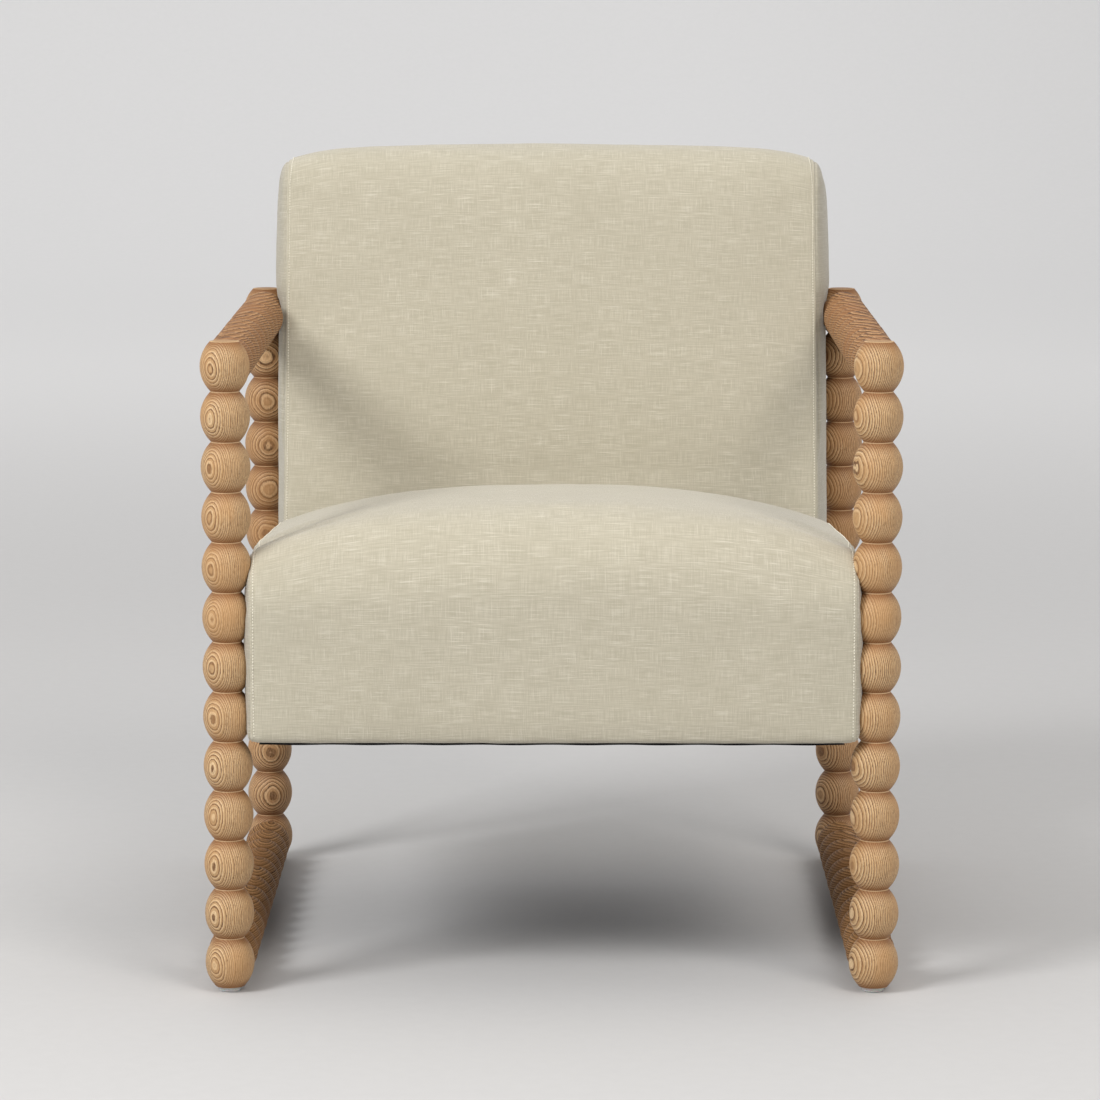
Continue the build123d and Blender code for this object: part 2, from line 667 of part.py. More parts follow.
# ---- Back frame ----
def back_stile(side):
    """Stile from the seat's underside to the top rail, with holes for bolts and dowels."""
    points = [
        meet(STILE_FRONT, SEAT_RAIL_LOW), back_at(STILE_FRONT, STILE_TOP),
        back_at(STILE_REAR, STILE_TOP), meet(STILE_REAR, SEAT_RAIL_LOW),
    ]
    body = slab(points, RAIL_IN, RAIL_OUT)
    for z in REAR_BOLT_Z:
        body -= bolt_hole(FRAME_DEPTH, z)
    for dowel in seat_dowels(1, GLUE_GAP) + back_dowels(1, GLUE_GAP):
        body -= dowel
    return mirrored(body, side)


def back_dowels(side, gap=0.0):
    """Dowels at one side between a stile and the three cross rails behind it."""
    middle = STILE_FRONT + BOARD / 2
    top = STILE_TOP - TOP_RAIL_H
    places = [back_at(middle, top + TOP_DOWEL_V), back_at(middle, STILE_TOP - TOP_DOWEL_V)]
    places += [back_at(middle, TACK_RAIL_LOW + v) for v in TACK_DOWEL_V]
    places += [meet(middle, SEAT_RAIL_LOW + w) for w in REAR_DOWEL_W]
    return [mirrored(cross_dowel(y, z, gap), side) for y, z in places]


def back_cross_rail(low, high):
    """Cross rail between the stiles, flush with their front edges."""
    points = [
        back_at(STILE_FRONT, low), back_at(STILE_FRONT, high),
        back_at(STILE_FRONT + BOARD, high), back_at(STILE_FRONT + BOARD, low),
    ]
    body = slab(points, -RAIL_IN, RAIL_IN)
    for side in SIDES.values():
        for dowel in back_dowels(side, GLUE_GAP):
            body -= dowel
    return body


def back_strap(low):
    """One elastic strap stretched across the front of the stiles."""
    t0, t1 = STILE_FRONT - WEB_T + PAD_GAP, STILE_FRONT
    high = low + STRAP_W
    half = RAIL_OUT - STRAP_MARGIN
    points = [back_at(t0, low), back_at(t0, high), back_at(t1, high), back_at(t1, low)]
    return slab(points, -half, half)


def back_side_padding(side):
    """Thin padding on a stile's outer face, holed for the bolts' sleeves."""
    front, rear = COVER_T + OVERCUT, STILE_REAR - FACE_GAP
    high = DECK_TOP - FACE_GAP
    points = [
        meet(front, PAD_LOW), meet(front, high), meet(STILE_FRONT, high),
        back_at(STILE_FRONT, STILE_TOP), back_at(rear, STILE_TOP), meet(rear, PAD_LOW),
    ]
    return mirrored(side_pad(points, FRAME_DEPTH, REAR_BOLT_Z), side)


def outside_back_board():
    """Thin board nailed to the rear edges of the stiles."""
    t0, t1 = STILE_REAR, STILE_REAR + BACK_PANEL - PAD_GAP
    high = STILE_TOP - PANEL_DROP
    points = [
        meet(t0, SEAT_RAIL_LOW), back_at(t0, high), back_at(t1, high), meet(t1, SEAT_RAIL_LOW),
    ]
    return slab(points, -RAIL_OUT, RAIL_OUT)


# ---- Bolts into the posts ----
def hardware(make):
    """The piece that make(y, z) draws for +X, at every bolt on both sides."""
    return [
        mirrored(make(ENDS[end], z), side)
        for side in SIDES.values() for end in ENDS for z in bolt_places(end)
    ]


def bolt(y, z):
    """Socket-head machine bolt from inside the rail into the insert."""
    seat_x = RAIL_IN - WASHER_T
    tip_x = POST_X - BEAD_R + SPOT_DEPTH + INSERT_LONG + OVERCUT
    shank = rod_x(y, z, BOLT_R, seat_x, tip_x)
    head = rod_x(y, z, BOLT_HEAD_R, seat_x - BOLT_HEAD_H, seat_x)
    key = Plane.YZ.offset(seat_x - BOLT_HEAD_H) * Pos(y, z) * RegularPolygon(HEX_R, 6)
    return shank + head - extrude(key, amount=HEX_DEPTH)


def washer(y, z):
    """Flat washer under the bolt's head."""
    return tube_x(y, z, WASHER_R, SPACER_BORE, RAIL_IN - WASHER_T, RAIL_IN)


def spacer(y, z):
    """Steel sleeve between the rail and the flat spot on the bead."""
    end_x = POST_X - BEAD_R + SPOT_DEPTH
    return tube_x(y, z, SPACER_R, SPACER_BORE, RAIL_OUT, end_x)


def insert(y, z):
    """Threaded insert in the bead."""
    x0 = POST_X - BEAD_R + SPOT_DEPTH
    return tube_x(y, z, INSERT_R, BOLT_R + THREAD_FIT, x0, x0 + INSERT_LONG)


# ---- The origin: under the middle of the whole chair ----
rearmost = back_block(0).bounding_box().max.Y
MIDDLE_Y = (SEAT_FRONT + rearmost) / 2

# ---- Export ----
for side_name, s in SIDES.items():
    for end_name in ENDS:
        save(f"{end_name}_post_{side_name}", post(end_name, s))
    save(f"arm_rail_{side_name}", rail(ARM_Z, s))
    save(f"base_rail_{side_name}", rail(BASE_Z, s))
    dowels = [
        mirrored(corner_dowel(socket_y(y, way), way, POST_X, z), s)
        for y, way in ((0.0, 1), (FRAME_DEPTH, -1)) for z in (BASE_Z, ARM_Z)
    ]
    save(f"corner_dowels_{side_name}", *dowels)
    save(f"seat_side_rail_{side_name}", seat_side_rail(s))
    save(f"back_stile_{side_name}", back_stile(s))
    save(f"seat_side_padding_{side_name}", seat_side_padding(s))
    save(f"back_side_padding_{side_name}", back_side_padding(s))

feet = [(y, s) for y in ENDS.values() for s in SIDES.values()]
save("floor_glides", *[floor_glide(y, s) for y, s in feet])
save("glide_nails", *[glide_nail(y, s) for y, s in feet])

save("seat_front_rail", seat_front_rail())
save("seat_rear_rail", seat_rear_rail())
blocks = [seat_corner_block(s, r) for s in SIDES.values() for r in (False, True)]
save("seat_corner_blocks", *blocks)
save("corner_block_screws", *[p for s in SIDES.values() for p in block_screws(s)])
save("seat_frame_dowels", *[d for s in SIDES.values() for d in seat_dowels(s)])
save("seat_springs", *[sinuous_spring(x) for x in SPRING_X])
save("spring_clips", *[spring_clip(x, r) for x in SPRING_X for r in (False, True)])
save("seat_deck_pad", deck_pad())
save("seat_foam", seat_foam())
save("seat_front_padding", seat_front_padding())
save("seat_cover", seat_cover())
save("dust_cover", dust_cover())
save("dust_cover_staples", *staples())

save("back_top_rail", back_cross_rail(STILE_TOP - TOP_RAIL_H, STILE_TOP))
save("back_tack_rail", back_cross_rail(TACK_RAIL_LOW, TACK_RAIL_LOW + TACK_RAIL_H))
save("back_frame_dowels", *[d for s in SIDES.values() for d in back_dowels(s)])
save("back_webbing", *[back_strap(v) for v in STRAP_V])
save("back_foam", back_foam())
save("back_cover", back_cover())
save("outside_back_board", outside_back_board())

save("post_bolts", *hardware(bolt))
save("bolt_washers", *hardware(washer))
save("bolt_spacers", *hardware(spacer))
save("post_inserts", *hardware(insert))
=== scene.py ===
"""Looks of an upholstered armchair between bead-turned side frames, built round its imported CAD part.

Metres throughout, in the part's frame: +Z up, +Y towards the back of the chair, +X to the right as
seen from in front. Along a cushion, u runs back through the seat or up the back, and w or t runs
through its thickness.
"""

import json
import math

import bpy
import numpy as np
from mathutils import Matrix, Vector, noise
from mathutils.bvhtree import BVHTree

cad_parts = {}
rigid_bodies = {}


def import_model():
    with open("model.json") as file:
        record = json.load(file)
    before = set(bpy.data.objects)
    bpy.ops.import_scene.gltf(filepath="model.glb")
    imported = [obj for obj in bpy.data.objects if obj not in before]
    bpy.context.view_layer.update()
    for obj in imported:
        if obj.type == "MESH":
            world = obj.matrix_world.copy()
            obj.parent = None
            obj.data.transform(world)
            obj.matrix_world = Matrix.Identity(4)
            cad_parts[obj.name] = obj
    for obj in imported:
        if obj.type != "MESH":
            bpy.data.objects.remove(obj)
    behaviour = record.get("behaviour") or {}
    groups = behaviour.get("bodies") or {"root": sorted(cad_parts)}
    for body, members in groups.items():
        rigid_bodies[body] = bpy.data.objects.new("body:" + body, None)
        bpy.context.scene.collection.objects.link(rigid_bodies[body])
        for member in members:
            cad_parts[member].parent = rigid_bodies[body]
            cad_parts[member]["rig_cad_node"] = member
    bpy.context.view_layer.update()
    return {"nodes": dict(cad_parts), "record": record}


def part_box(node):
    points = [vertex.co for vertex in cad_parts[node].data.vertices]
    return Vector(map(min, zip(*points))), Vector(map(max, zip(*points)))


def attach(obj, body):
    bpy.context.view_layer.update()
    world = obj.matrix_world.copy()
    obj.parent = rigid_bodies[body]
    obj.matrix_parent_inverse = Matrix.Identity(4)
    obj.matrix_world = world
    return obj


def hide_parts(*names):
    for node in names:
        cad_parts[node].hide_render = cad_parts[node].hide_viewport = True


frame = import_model()
scene = bpy.context.scene

# ---- Places and sizes read from the frame ----
POST_BEADS = 13
RAIL_BEADS = 12
post_low, post_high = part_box("front_post_left")
rear_low, rear_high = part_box("rear_post_left")
seat_low, seat_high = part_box("seat_cover")
PITCH = (post_high.z - post_low.z) / POST_BEADS
BEAD_R = (post_high.x - post_low.x) / 2
POST_X = -(post_high.x + post_low.x) / 2
FRONT_Y = (post_high.y + post_low.y) / 2
REAR_Y = (rear_high.y + rear_low.y) / 2
BASE_Z = post_low.z + PITCH / 2
ARM_Z = post_high.z - PITCH / 2
SEAT_FRONT = seat_low.y
SIDES = {"left": -1, "right": 1}

# ---- Sizes shared with the CAD part ----
NECK_R = 0.014
SEAT_BOTTOM = 0.255
SEAT_THICK = 0.196
SEAT_ANGLE = math.radians(4.5)
BACK_Y = FRONT_Y + 0.505
BACK_Z = 0.408
BACK_ANGLE = math.radians(15)
BACK_THICK = 0.125
BACK_TOP = 0.423

# ---- Turned wood ----
NECK_SOFTNESS = 0.0006  # how far the sharp groove at a neck is rounded
RINGS_PER_BEAD = 22  # rows of points along one bead
SPOKES = 96  # points round a bead
END_CHAMFER = 0.0008
END_SHARES = (0.6, 0.2)  # radii of the rows across a flat end
BEAD_VARIATION = 0.00016  # beads differ by this much in radius
OUT_OF_ROUND = 0.0035
RING_WIDTH = 0.00185  # yearly growth in the posts' blanks
RAIL_RING_WIDTH = 0.0023

# ---- Upholstery ----
CELL = 0.0072  # size of a cushion mesh's cells before its subdivision
ARC_STEPS = 12
LEAST_R = 0.0015  # smallest radius that an outline's corner shrinks to
CONTACT_GAP = 0.0006  # cloth to wood
FOOT = 0.001  # cushions' undersides above the seat slab's
SEAT_NOSE_R = 0.056
SEAT_CROWN = 0.045
SEAT_DISH = 0.009  # how much lower the crown is at the seat's front and rear
SEAT_DISH_Y = 0.25  # highest place of the crown, behind the front posts
SEAT_SEAM_X = 0.3010
SEAT_LEAN = 0.0154  # the seat's front stands upright, though the seat slopes
SEAT_SHIFT = 0.0018  # the seat cover sits a little to the right
SEAT_SIDE_BULGE = 0.0042
SEAT_SIDE_ROLL = 0.014
BACK_SEAM_X = 0.2935
BACK_SHIFT = -0.0028
BACK_SIDE_BULGE = 0.0095
BACK_COVERS_FRAME = 0.0045  # wider on the right where the back hides from the front
BACK_SIDE_ROLL = 0.024
SEAM_HELD = 0.007  # cloth held by the stitches, inwards of a seam
SEAM_REST = 0.0005  # and outwards of it
STITCH_PITCH = 0.0031
STITCH_INSET = 0.0034
STITCH_LONG = 0.68 * STITCH_PITCH
STITCH_THICK = 0.00052
STITCH_SIDES = 6
SIM_FRAMES = 20
SIM_PRESSURE = 4.0
SIM_REACH = 0.006  # furthest that the pressure moves a point
HEM = 0.006  # below this the covers are fixed to the rails, and the dust cloth starts this far in
DUST_W = 0.0003  # height of the dust cloth's middle above the seat's underside
DUST_T = 0.0009
STAPLE_GAPS = 8
FELT_W = 0.1075
FELT_T = 0.002

# ---- Lights and camera ----
LIGHT_AIM = Vector((0.0, 0.0, 0.40))
LIGHT_DISTANCE = 6.0
LENS = 154.27
CAMERA_X = 0.0158
CAMERA_DISTANCE = 4.6353  # ahead of the front posts
CAMERA_Z = 1.0788
CAMERA_TILT = 82.236
CAMERA_TURN = 0.216


# ---- Shader building ----
class Shader:
    """A material's node tree, with short calls for the nodes used here."""

    def __init__(self, name):
        self.material = bpy.data.materials.new(name)
        self.material.use_nodes = True
        self.tree = self.material.node_tree
        self.surface = self.tree.nodes["Principled BSDF"]

    def add(self, kind, inputs=(), **settings):
        """New node; inputs are (socket name or number, value or output socket) pairs."""
        node = self.tree.nodes.new("ShaderNode" + kind)
        for key, value in settings.items():
            setattr(node, key, value)
        for key, value in inputs:
            self.feed(value, node.inputs[key])
        return node

    def feed(self, value, socket):
        """Links an output to the socket, or sets the socket's own value."""
        if isinstance(value, bpy.types.NodeSocket):
            self.tree.links.new(value, socket)
        else:
            socket.default_value = value

    def math(self, operation, a, b=0.0, c=0.0, clamp=False):
        pairs = [(0, a), (1, b), (2, c)]
        return self.add("Math", pairs, operation=operation, use_clamp=clamp).outputs[0]

    def vector(self, operation, a, b=(0.0, 0.0, 0.0)):
        node = self.add("VectorMath", [(0, a), (1, b)], operation=operation)
        return node.outputs["Value" if operation == "LENGTH" else "Vector"]

    def noise(self, vector, detail=2.0, roughness=0.5, distortion=0.0):
        pairs = [
            ("Vector", vector), ("Scale", 1.0), ("Detail", detail),
            ("Roughness", roughness), ("Distortion", distortion),
        ]
        return self.add("TexNoise", pairs).outputs["Fac"]

    def remap(self, value, low, high, to_low=0.0, to_high=1.0, smooth=True):
        pairs = [
            ("Value", value), ("From Min", low), ("From Max", high),
            ("To Min", to_low), ("To Max", to_high),
        ]
        kind = "SMOOTHSTEP" if smooth else "LINEAR"
        return self.add("MapRange", pairs, interpolation_type=kind, clamp=True).outputs["Result"]

    def mix(self, share, a, b, blend="MIX"):
        node = self.add("Mix", data_type="RGBA", blend_type=blend)
        self.feed(share, node.inputs[0])
        self.feed(a, node.inputs[6])
        self.feed(b, node.inputs[7])
        return node.outputs[2]

    def ramp(self, value, stops):
        """Colour ramp through (place, colour) stops."""
        node = self.add("ValToRGB", [("Fac", value)])
        band = node.color_ramp
        while len(band.elements) < len(stops):
            band.elements.new(0.5)
        for element, (place, colour) in zip(band.elements, stops):
            element.position = place
            element.color = colour
        return node.outputs["Color"]

    def bump(self, height, distance, strength=1.0, below=None):
        pairs = [("Height", height), ("Distance", distance), ("Strength", strength)]
        if below is not None:
            pairs.append(("Normal", below))
        return self.add("Bump", pairs).outputs["Normal"]

    def finish(self, **inputs):
        """Sets the surface's sockets, named with underscores for spaces."""
        for key, value in inputs.items():
            self.feed(value, self.surface.inputs[key.replace("_", " ")])
        return self.material


def srgb(red, green, blue):
    """Colour from 0..255 screen values, as the linear colour that nodes use."""
    linear = []
    for channel in (red, green, blue):
        c = channel / 255
        linear.append(c / 12.92 if c <= 0.04045 else ((c + 0.055) / 1.055) ** 2.4)
    return (*linear, 1.0)


# ---- Materials ----
def turned_wood(name, pith, phase, tint, ring=RING_WIDTH):
    """Matt ring-porous wood turned from one blank, with the tree's heart at pith, off the axis."""
    s = Shader(name)
    place = s.add("TexCoord").outputs["Object"]
    across = s.vector("MULTIPLY", place, (1.0, 1.0, 0.0))
    radius = s.vector("LENGTH", s.vector("SUBTRACT", across, (pith[0], pith[1], 0.0)))
    offset = (phase, 2 * phase, 3 * phase)
    # Yearly rings round the heart, their distance from it made uneven at three scales
    waves = ((22, 9, 1.0, 0.006), (62, 30, 1.0, 0.0019), (210, 90, 1.0, 0.0005))
    for rate, long_rate, detail, reach in waves:
        spot = s.vector("ADD", s.vector("MULTIPLY", place, (rate, rate, long_rate)), offset)
        radius = s.math("MULTIPLY_ADD", s.noise(spot, detail=detail), reach, radius)
    seasons = s.add("CombineXYZ", [(0, s.math("MULTIPLY", radius, 170.0))]).outputs[0]
    year = s.math("MULTIPLY_ADD", s.noise(seasons, detail=1.0), 1.6, s.math("DIVIDE", radius, ring))
    part = s.math("FRACT", year)
    luck = s.add("TexWhiteNoise", [("W", s.math("FLOOR", year))], noise_dimensions="1D").outputs["Value"]
    dark, light, mid, deep = (srgb(*tint[key]) for key in ("dark", "light", "mid", "deep"))
    stops = [
        (0.0, dark), (0.22, dark), (0.3, light), (0.5, light), (0.62, mid), (0.86, mid), (0.98, deep),
    ]
    wood = s.ramp(part, stops)
    wood = s.mix(s.math("MULTIPLY", luck, 0.5), wood, mid)
    # Faint lines within a year, fibres, and the pores of its early wood
    lesser = s.math("FRACT", s.math("MULTIPLY", year, 3.0))
    wood = s.mix(s.remap(lesser, 0.0, 0.3, 0.3, 0.0), wood, dark)
    fibre = s.noise(s.vector("MULTIPLY", place, (1700.0, 1700.0, 80.0)), detail=3.0, roughness=0.6)
    wood = s.mix(s.remap(fibre, 0.5, 0.7, 0.0, 0.5), wood, light)
    wood = s.mix(s.remap(fibre, 0.3, 0.48, 0.5, 0.0), wood, deep)
    pore_field = s.noise(s.vector("MULTIPLY", place, (1300.0, 1300.0, 190.0)), detail=1.0)
    early = s.remap(part, 0.05, 0.5, 1.0, 0.25)
    pores = s.math("MULTIPLY", s.remap(pore_field, 0.55, 0.63), early)
    wood = s.mix(s.math("MULTIPLY", pores, 0.85), wood, srgb(*tint["pore"]))
    cloud = s.noise(s.vector("MULTIPLY", place, (28.0, 28.0, 13.0)), detail=2.0)
    wood = s.mix(s.remap(cloud, 0.4, 0.7, 0.0, 0.5), wood, srgb(*tint["warm"]))
    # Plain end faces, painted shade darkening each bead towards its necks, and a thin light line at the
    # bottom of each groove
    girth = s.vector("LENGTH", across)
    end_face = s.remap(girth, NECK_R - 0.0016, NECK_R - 0.0009, 1.0, 0.0)
    round_side = s.math("SUBTRACT", 1.0, end_face)
    neck = s.remap(girth, NECK_R + 0.0006, NECK_R + 0.0085, 0.72, 0.0)
    wood = s.mix(s.math("MULTIPLY", neck, round_side), wood, srgb(*tint["neck"]))
    # A thin lighter line at the very bottom of each groove.
    groove_line = s.remap(girth, NECK_R + 0.0006, NECK_R + 0.00095, tint["groove_line"], 0.0)
    wood = s.mix(s.math("MULTIPLY", groove_line, round_side), wood, light)
    wood = s.mix(s.math("MULTIPLY", end_face, 0.35), wood, deep)
    height = s.math("SUBTRACT", s.math("MULTIPLY", part, 0.4), pores)
    normal = s.bump(height, 0.0002, 0.5)
    normal = s.bump(fibre, 0.00015, 0.6, below=normal)
    rough = s.remap(fibre, 0.3, 0.8, 0.46, 0.66, smooth=False)
    return s.finish(Base_Color=wood, Roughness=rough, Normal=normal, Specular_IOR_Level=tint["shine"])


def woven(name, pale, mid, dull, thread=0.0007, sheen=0.2, slub=1.0):
    """Plain-woven cloth laid out by the mesh's own cloth map, with slubs along both threads."""
    s = Shader(name)
    lay = s.add("UVMap", uv_map="cloth").outputs["UV"]
    wander = s.noise(s.vector("MULTIPLY", lay, (14.0, 14.0, 0.0)), detail=1.0)
    shift = s.add("CombineXYZ", [(0, wander), (1, wander)]).outputs[0]
    lay = s.vector("ADD", lay, s.vector("MULTIPLY", shift, (0.003, 0.003, 0.0)))
    # Threads over and under each other
    split = s.add("SeparateXYZ", [(0, lay)]).outputs
    count = math.pi / thread
    warp = s.math("SINE", s.math("MULTIPLY", split[0], count))
    weft = s.math("SINE", s.math("MULTIPLY", split[1], count))
    over = s.math("MULTIPLY_ADD", s.math("MULTIPLY", warp, weft), 0.5, 0.5)
    rounds = [(0, over), (2, s.math("ABSOLUTE", warp)), (3, s.math("ABSOLUTE", weft))]
    top = s.add("Mix", rounds, data_type="FLOAT").outputs[0]
    # Slubs: long thick places in some of the threads, stronger in patches
    fine = 1 / (1.35 * thread)
    warp_slub = s.noise(s.vector("MULTIPLY", lay, (fine, 50.0, 0.0)), detail=2.0, roughness=0.55)
    weft_slub = s.noise(s.vector("MULTIPLY", lay, (38.0, fine, 0.0)), detail=2.0, roughness=0.55)
    patch = s.noise(s.vector("MULTIPLY", lay, (16.0, 30.0, 0.0)), detail=2.0)
    cloud = s.noise(s.vector("MULTIPLY", lay, (9.0, 9.0, 0.0)), detail=3.0)
    base, bright, low = srgb(*mid), srgb(*pale), srgb(*dull)
    colour = s.mix(s.remap(weft_slub, 0.34, 0.56, 0.8, 0.0), base, low)
    colour = s.mix(s.remap(warp_slub, 0.34, 0.56, 0.65, 0.0), colour, low)
    strength = s.remap(patch, 0.3, 0.7, 0.5 * slub, slub)
    weft_share = s.math("MULTIPLY", s.remap(weft_slub, 0.57, 0.69), strength)
    colour = s.mix(weft_share, colour, bright)
    warp_share = s.math("MULTIPLY", s.remap(warp_slub, 0.59, 0.72), s.math("MULTIPLY", strength, 0.75))
    colour = s.mix(warp_share, colour, bright)
    colour = s.mix(s.remap(cloud, 0.35, 0.7, 0.0, 0.2), colour, low)
    # Painted shade in the hollows where the threads dip under each other.
    colour = s.mix(s.remap(top, 0.0, 0.45, 0.3, 0.0), colour, srgb(*[0.74 * c for c in dull]))
    threads = s.math("ADD", s.math("MULTIPLY", weft_slub, 1.2), warp_slub)
    normal = s.bump(threads, 0.0005, 0.4)
    normal = s.bump(top, 0.0002, 0.6, below=normal)
    return s.finish(
        Base_Color=colour, Roughness=0.88, Normal=normal, Specular_IOR_Level=0.22,
        Sheen_Weight=sheen, Sheen_Roughness=0.5,
    )


def board_wood(name, dark, light, along):
    """Planed hardwood for the hidden frames, with its grain along the X, Y or Z axis."""
    s = Shader(name)
    place = s.add("TexCoord").outputs["Object"]
    stretch = [190.0, 190.0, 190.0]
    stretch[along] = 9.0
    grain = s.noise(s.vector("MULTIPLY", place, stretch), detail=4.0, roughness=0.6, distortion=0.6)
    stretch = [900.0, 900.0, 900.0]
    stretch[along] = 60.0
    fleck = s.noise(s.vector("MULTIPLY", place, stretch), detail=2.0)
    colour = s.mix(s.remap(grain, 0.3, 0.7), srgb(*dark), srgb(*light))
    colour = s.mix(s.remap(fleck, 0.58, 0.7, 0.0, 0.5), colour, srgb(*[0.8 * c for c in dark]))
    normal = s.bump(grain, 0.0003, 0.4)
    return s.finish(Base_Color=colour, Roughness=0.66, Normal=normal, Specular_IOR_Level=0.3)


def speckled(name, dark, light, size, roughness, depth, metallic=0.0, **more):
    """Fine irregular stuff such as felt, foam, card, plastic or plated steel."""
    s = Shader(name)
    place = s.add("TexCoord").outputs["Object"]
    grain = s.noise(s.vector("MULTIPLY", place, (1 / size,) * 3), detail=4.0, roughness=0.65)
    cloud = s.noise(s.vector("MULTIPLY", place, (0.06 / size,) * 3), detail=2.0)
    colour = s.mix(s.remap(grain, 0.3, 0.7), srgb(*dark), srgb(*light))
    colour = s.mix(s.remap(cloud, 0.4, 0.7, 0.0, 0.3), colour, srgb(*dark))
    rough = s.remap(grain, 0.2, 0.8, roughness - 0.08, roughness + 0.08, smooth=False)
    normal = s.bump(grain, depth, 0.5)
    return s.finish(Base_Color=colour, Roughness=rough, Normal=normal, Metallic=metallic, **more)


# In each tint, the colour for the necks is painted shade that darkens the beads towards them.
FRONT_TINT = {
    "light": (227, 197, 155), "mid": (189, 153, 110), "deep": (158, 118, 77), "dark": (106, 68, 40),
    "pore": (70, 43, 25), "warm": (188, 142, 93), "neck": (130, 80, 40), "groove_line": 0.75, "shine": 0.28,
}
REAR_TINT = {
    "light": (222, 186, 142), "mid": (184, 143, 101), "deep": (152, 111, 73), "dark": (96, 60, 35),
    "pore": (60, 36, 21), "warm": (178, 131, 84), "neck": (118, 72, 38), "groove_line": 0.7, "shine": 0.28,
}
# Darker copy for the arm rails, set to how dark they look: partly the rails' own colour, partly painted
# shade.
RAIL_TINT_WITH_SHADE = {
    "light": (202, 158, 114), "mid": (150, 110, 73), "deep": (122, 85, 54), "dark": (74, 45, 26),
    "pore": (46, 28, 17), "warm": (150, 104, 67), "neck": (78, 46, 26), "groove_line": 0.15, "shine": 0.22,
}
# Darker copy for the base rails under the seat: painted shade from the seat above them.
RUNNER_TINT_SHADED = {
    "light": (192, 149, 104), "mid": (142, 104, 67), "deep": (102, 72, 45), "dark": (62, 38, 22),
    "pore": (42, 26, 15), "warm": (128, 90, 56), "neck": (60, 36, 20), "groove_line": 0.0, "shine": 0.08,
}
linen = woven("linen", pale=(211, 206, 191), mid=(194, 188, 170), dull=(178, 172, 153), sheen=0.36)
# The side panels get a darker, greyer copy of the same linen: painted shade.
linen_side_shaded = woven(
    "linen_side_shaded", pale=(205, 201, 189), mid=(185, 180, 164), dull=(170, 164, 147), sheen=0.36,
)
dust_cloth = woven(
    "dust_cloth", pale=(46, 44, 47), mid=(32, 30, 33), dull=(24, 22, 25),
    thread=0.0005, sheen=0.05, slub=0.3,
)
strap_web = woven(
    "elastic_webbing", pale=(98, 88, 74), mid=(74, 66, 56), dull=(56, 49, 42), thread=0.0011,
)
thread_stuff = speckled("stitch_thread", (222, 217, 200), (248, 245, 233), 0.0006, 0.8, 0.0001)
MATERIALS = {
    "linen": linen,
    "turned_oak": turned_wood("turned_oak_hidden", (0.04, 0.05), 0.5, REAR_TINT),
    "foam": speckled("foam", (214, 205, 168), (235, 228, 198), 0.0012, 0.9, 0.0006),
    "felt": speckled("felt", (202, 199, 190), (232, 230, 223), 0.0009, 0.92, 0.0005, Sheen_Weight=0.3),
    "dust_cloth": dust_cloth,
    "webbing": strap_web,
    "board": speckled("board", (134, 106, 74), (160, 130, 94), 0.0007, 0.85, 0.0002),
    "steel": speckled(
        "bright_steel", (150, 150, 155), (182, 182, 187), 0.0008, 0.32, 0.00004, metallic=1.0,
    ),
    "zinc": speckled(
        "zinc_plate", (168, 164, 142), (196, 193, 175), 0.0016, 0.4, 0.00005, metallic=0.9,
    ),
    "glide_plastic": speckled(
        "glide_plastic", (196, 198, 197), (220, 222, 221), 0.0011, 0.34, 0.00003,
        Subsurface_Weight=0.25, Subsurface_Scale=0.004,
    ),
}


# ---- Small helpers ----
def smooth_step(x, low, high):
    """0 below low, 1 above high, smooth between, for arrays."""
    t = np.clip((x - low) / (high - low), 0, 1)
    return t * t * (3 - 2 * t)


def new_object(name, points, faces, materials, smooth=True):
    """Mesh object in the scene."""
    mesh = bpy.data.meshes.new(name)
    mesh.from_pydata([tuple(p) for p in points], [], faces)
    mesh.polygons.foreach_set("use_smooth", [smooth] * len(faces))
    for material in materials:
        mesh.materials.append(material)
    piece = bpy.data.objects.new(name, mesh)
    scene.collection.objects.link(piece)
    return piece


def coordinates(mesh):
    """Vertex places as an array."""
    flat = np.zeros(len(mesh.vertices) * 3, np.float32)
    mesh.vertices.foreach_get("co", flat)
    return flat.reshape(-1, 3).astype(float)


def move_points(piece, points):
    """Writes vertex places back to the mesh."""
    piece.data.vertices.foreach_set("co", points.astype(np.float32).ravel())
    piece.data.update()


# ---- Turned posts and rails ----
def bead_radius(height):
    """Radius of a bead at a height above or below its middle."""
    rise = BEAD_R - NECK_R
    arc = ((PITCH / 2) ** 2 + rise ** 2) / (2 * rise)
    return BEAD_R - arc + np.sqrt(np.maximum(arc ** 2 - np.square(height), 0))


def turned_rows(beads, seed):
    """Heights and radii along a stack of beads, necks softened, each bead a hair off its neighbours."""
    chance = np.random.default_rng(seed)
    steps = -np.cos(np.pi * np.arange(RINGS_PER_BEAD) / RINGS_PER_BEAD) * PITCH / 2
    heights, radii = [], []
    for bead in range(beads):
        odd = chance.uniform(-BEAD_VARIATION, BEAD_VARIATION)
        to_neck = np.hypot(PITCH / 2 - np.abs(steps), NECK_SOFTNESS)
        heights.extend((bead + 0.5) * PITCH + steps)
        radii.extend(bead_radius(PITCH / 2 - to_neck) + odd * np.cos(np.pi * steps / PITCH) ** 2)
    return np.array(heights[1:]), np.array(radii[1:])


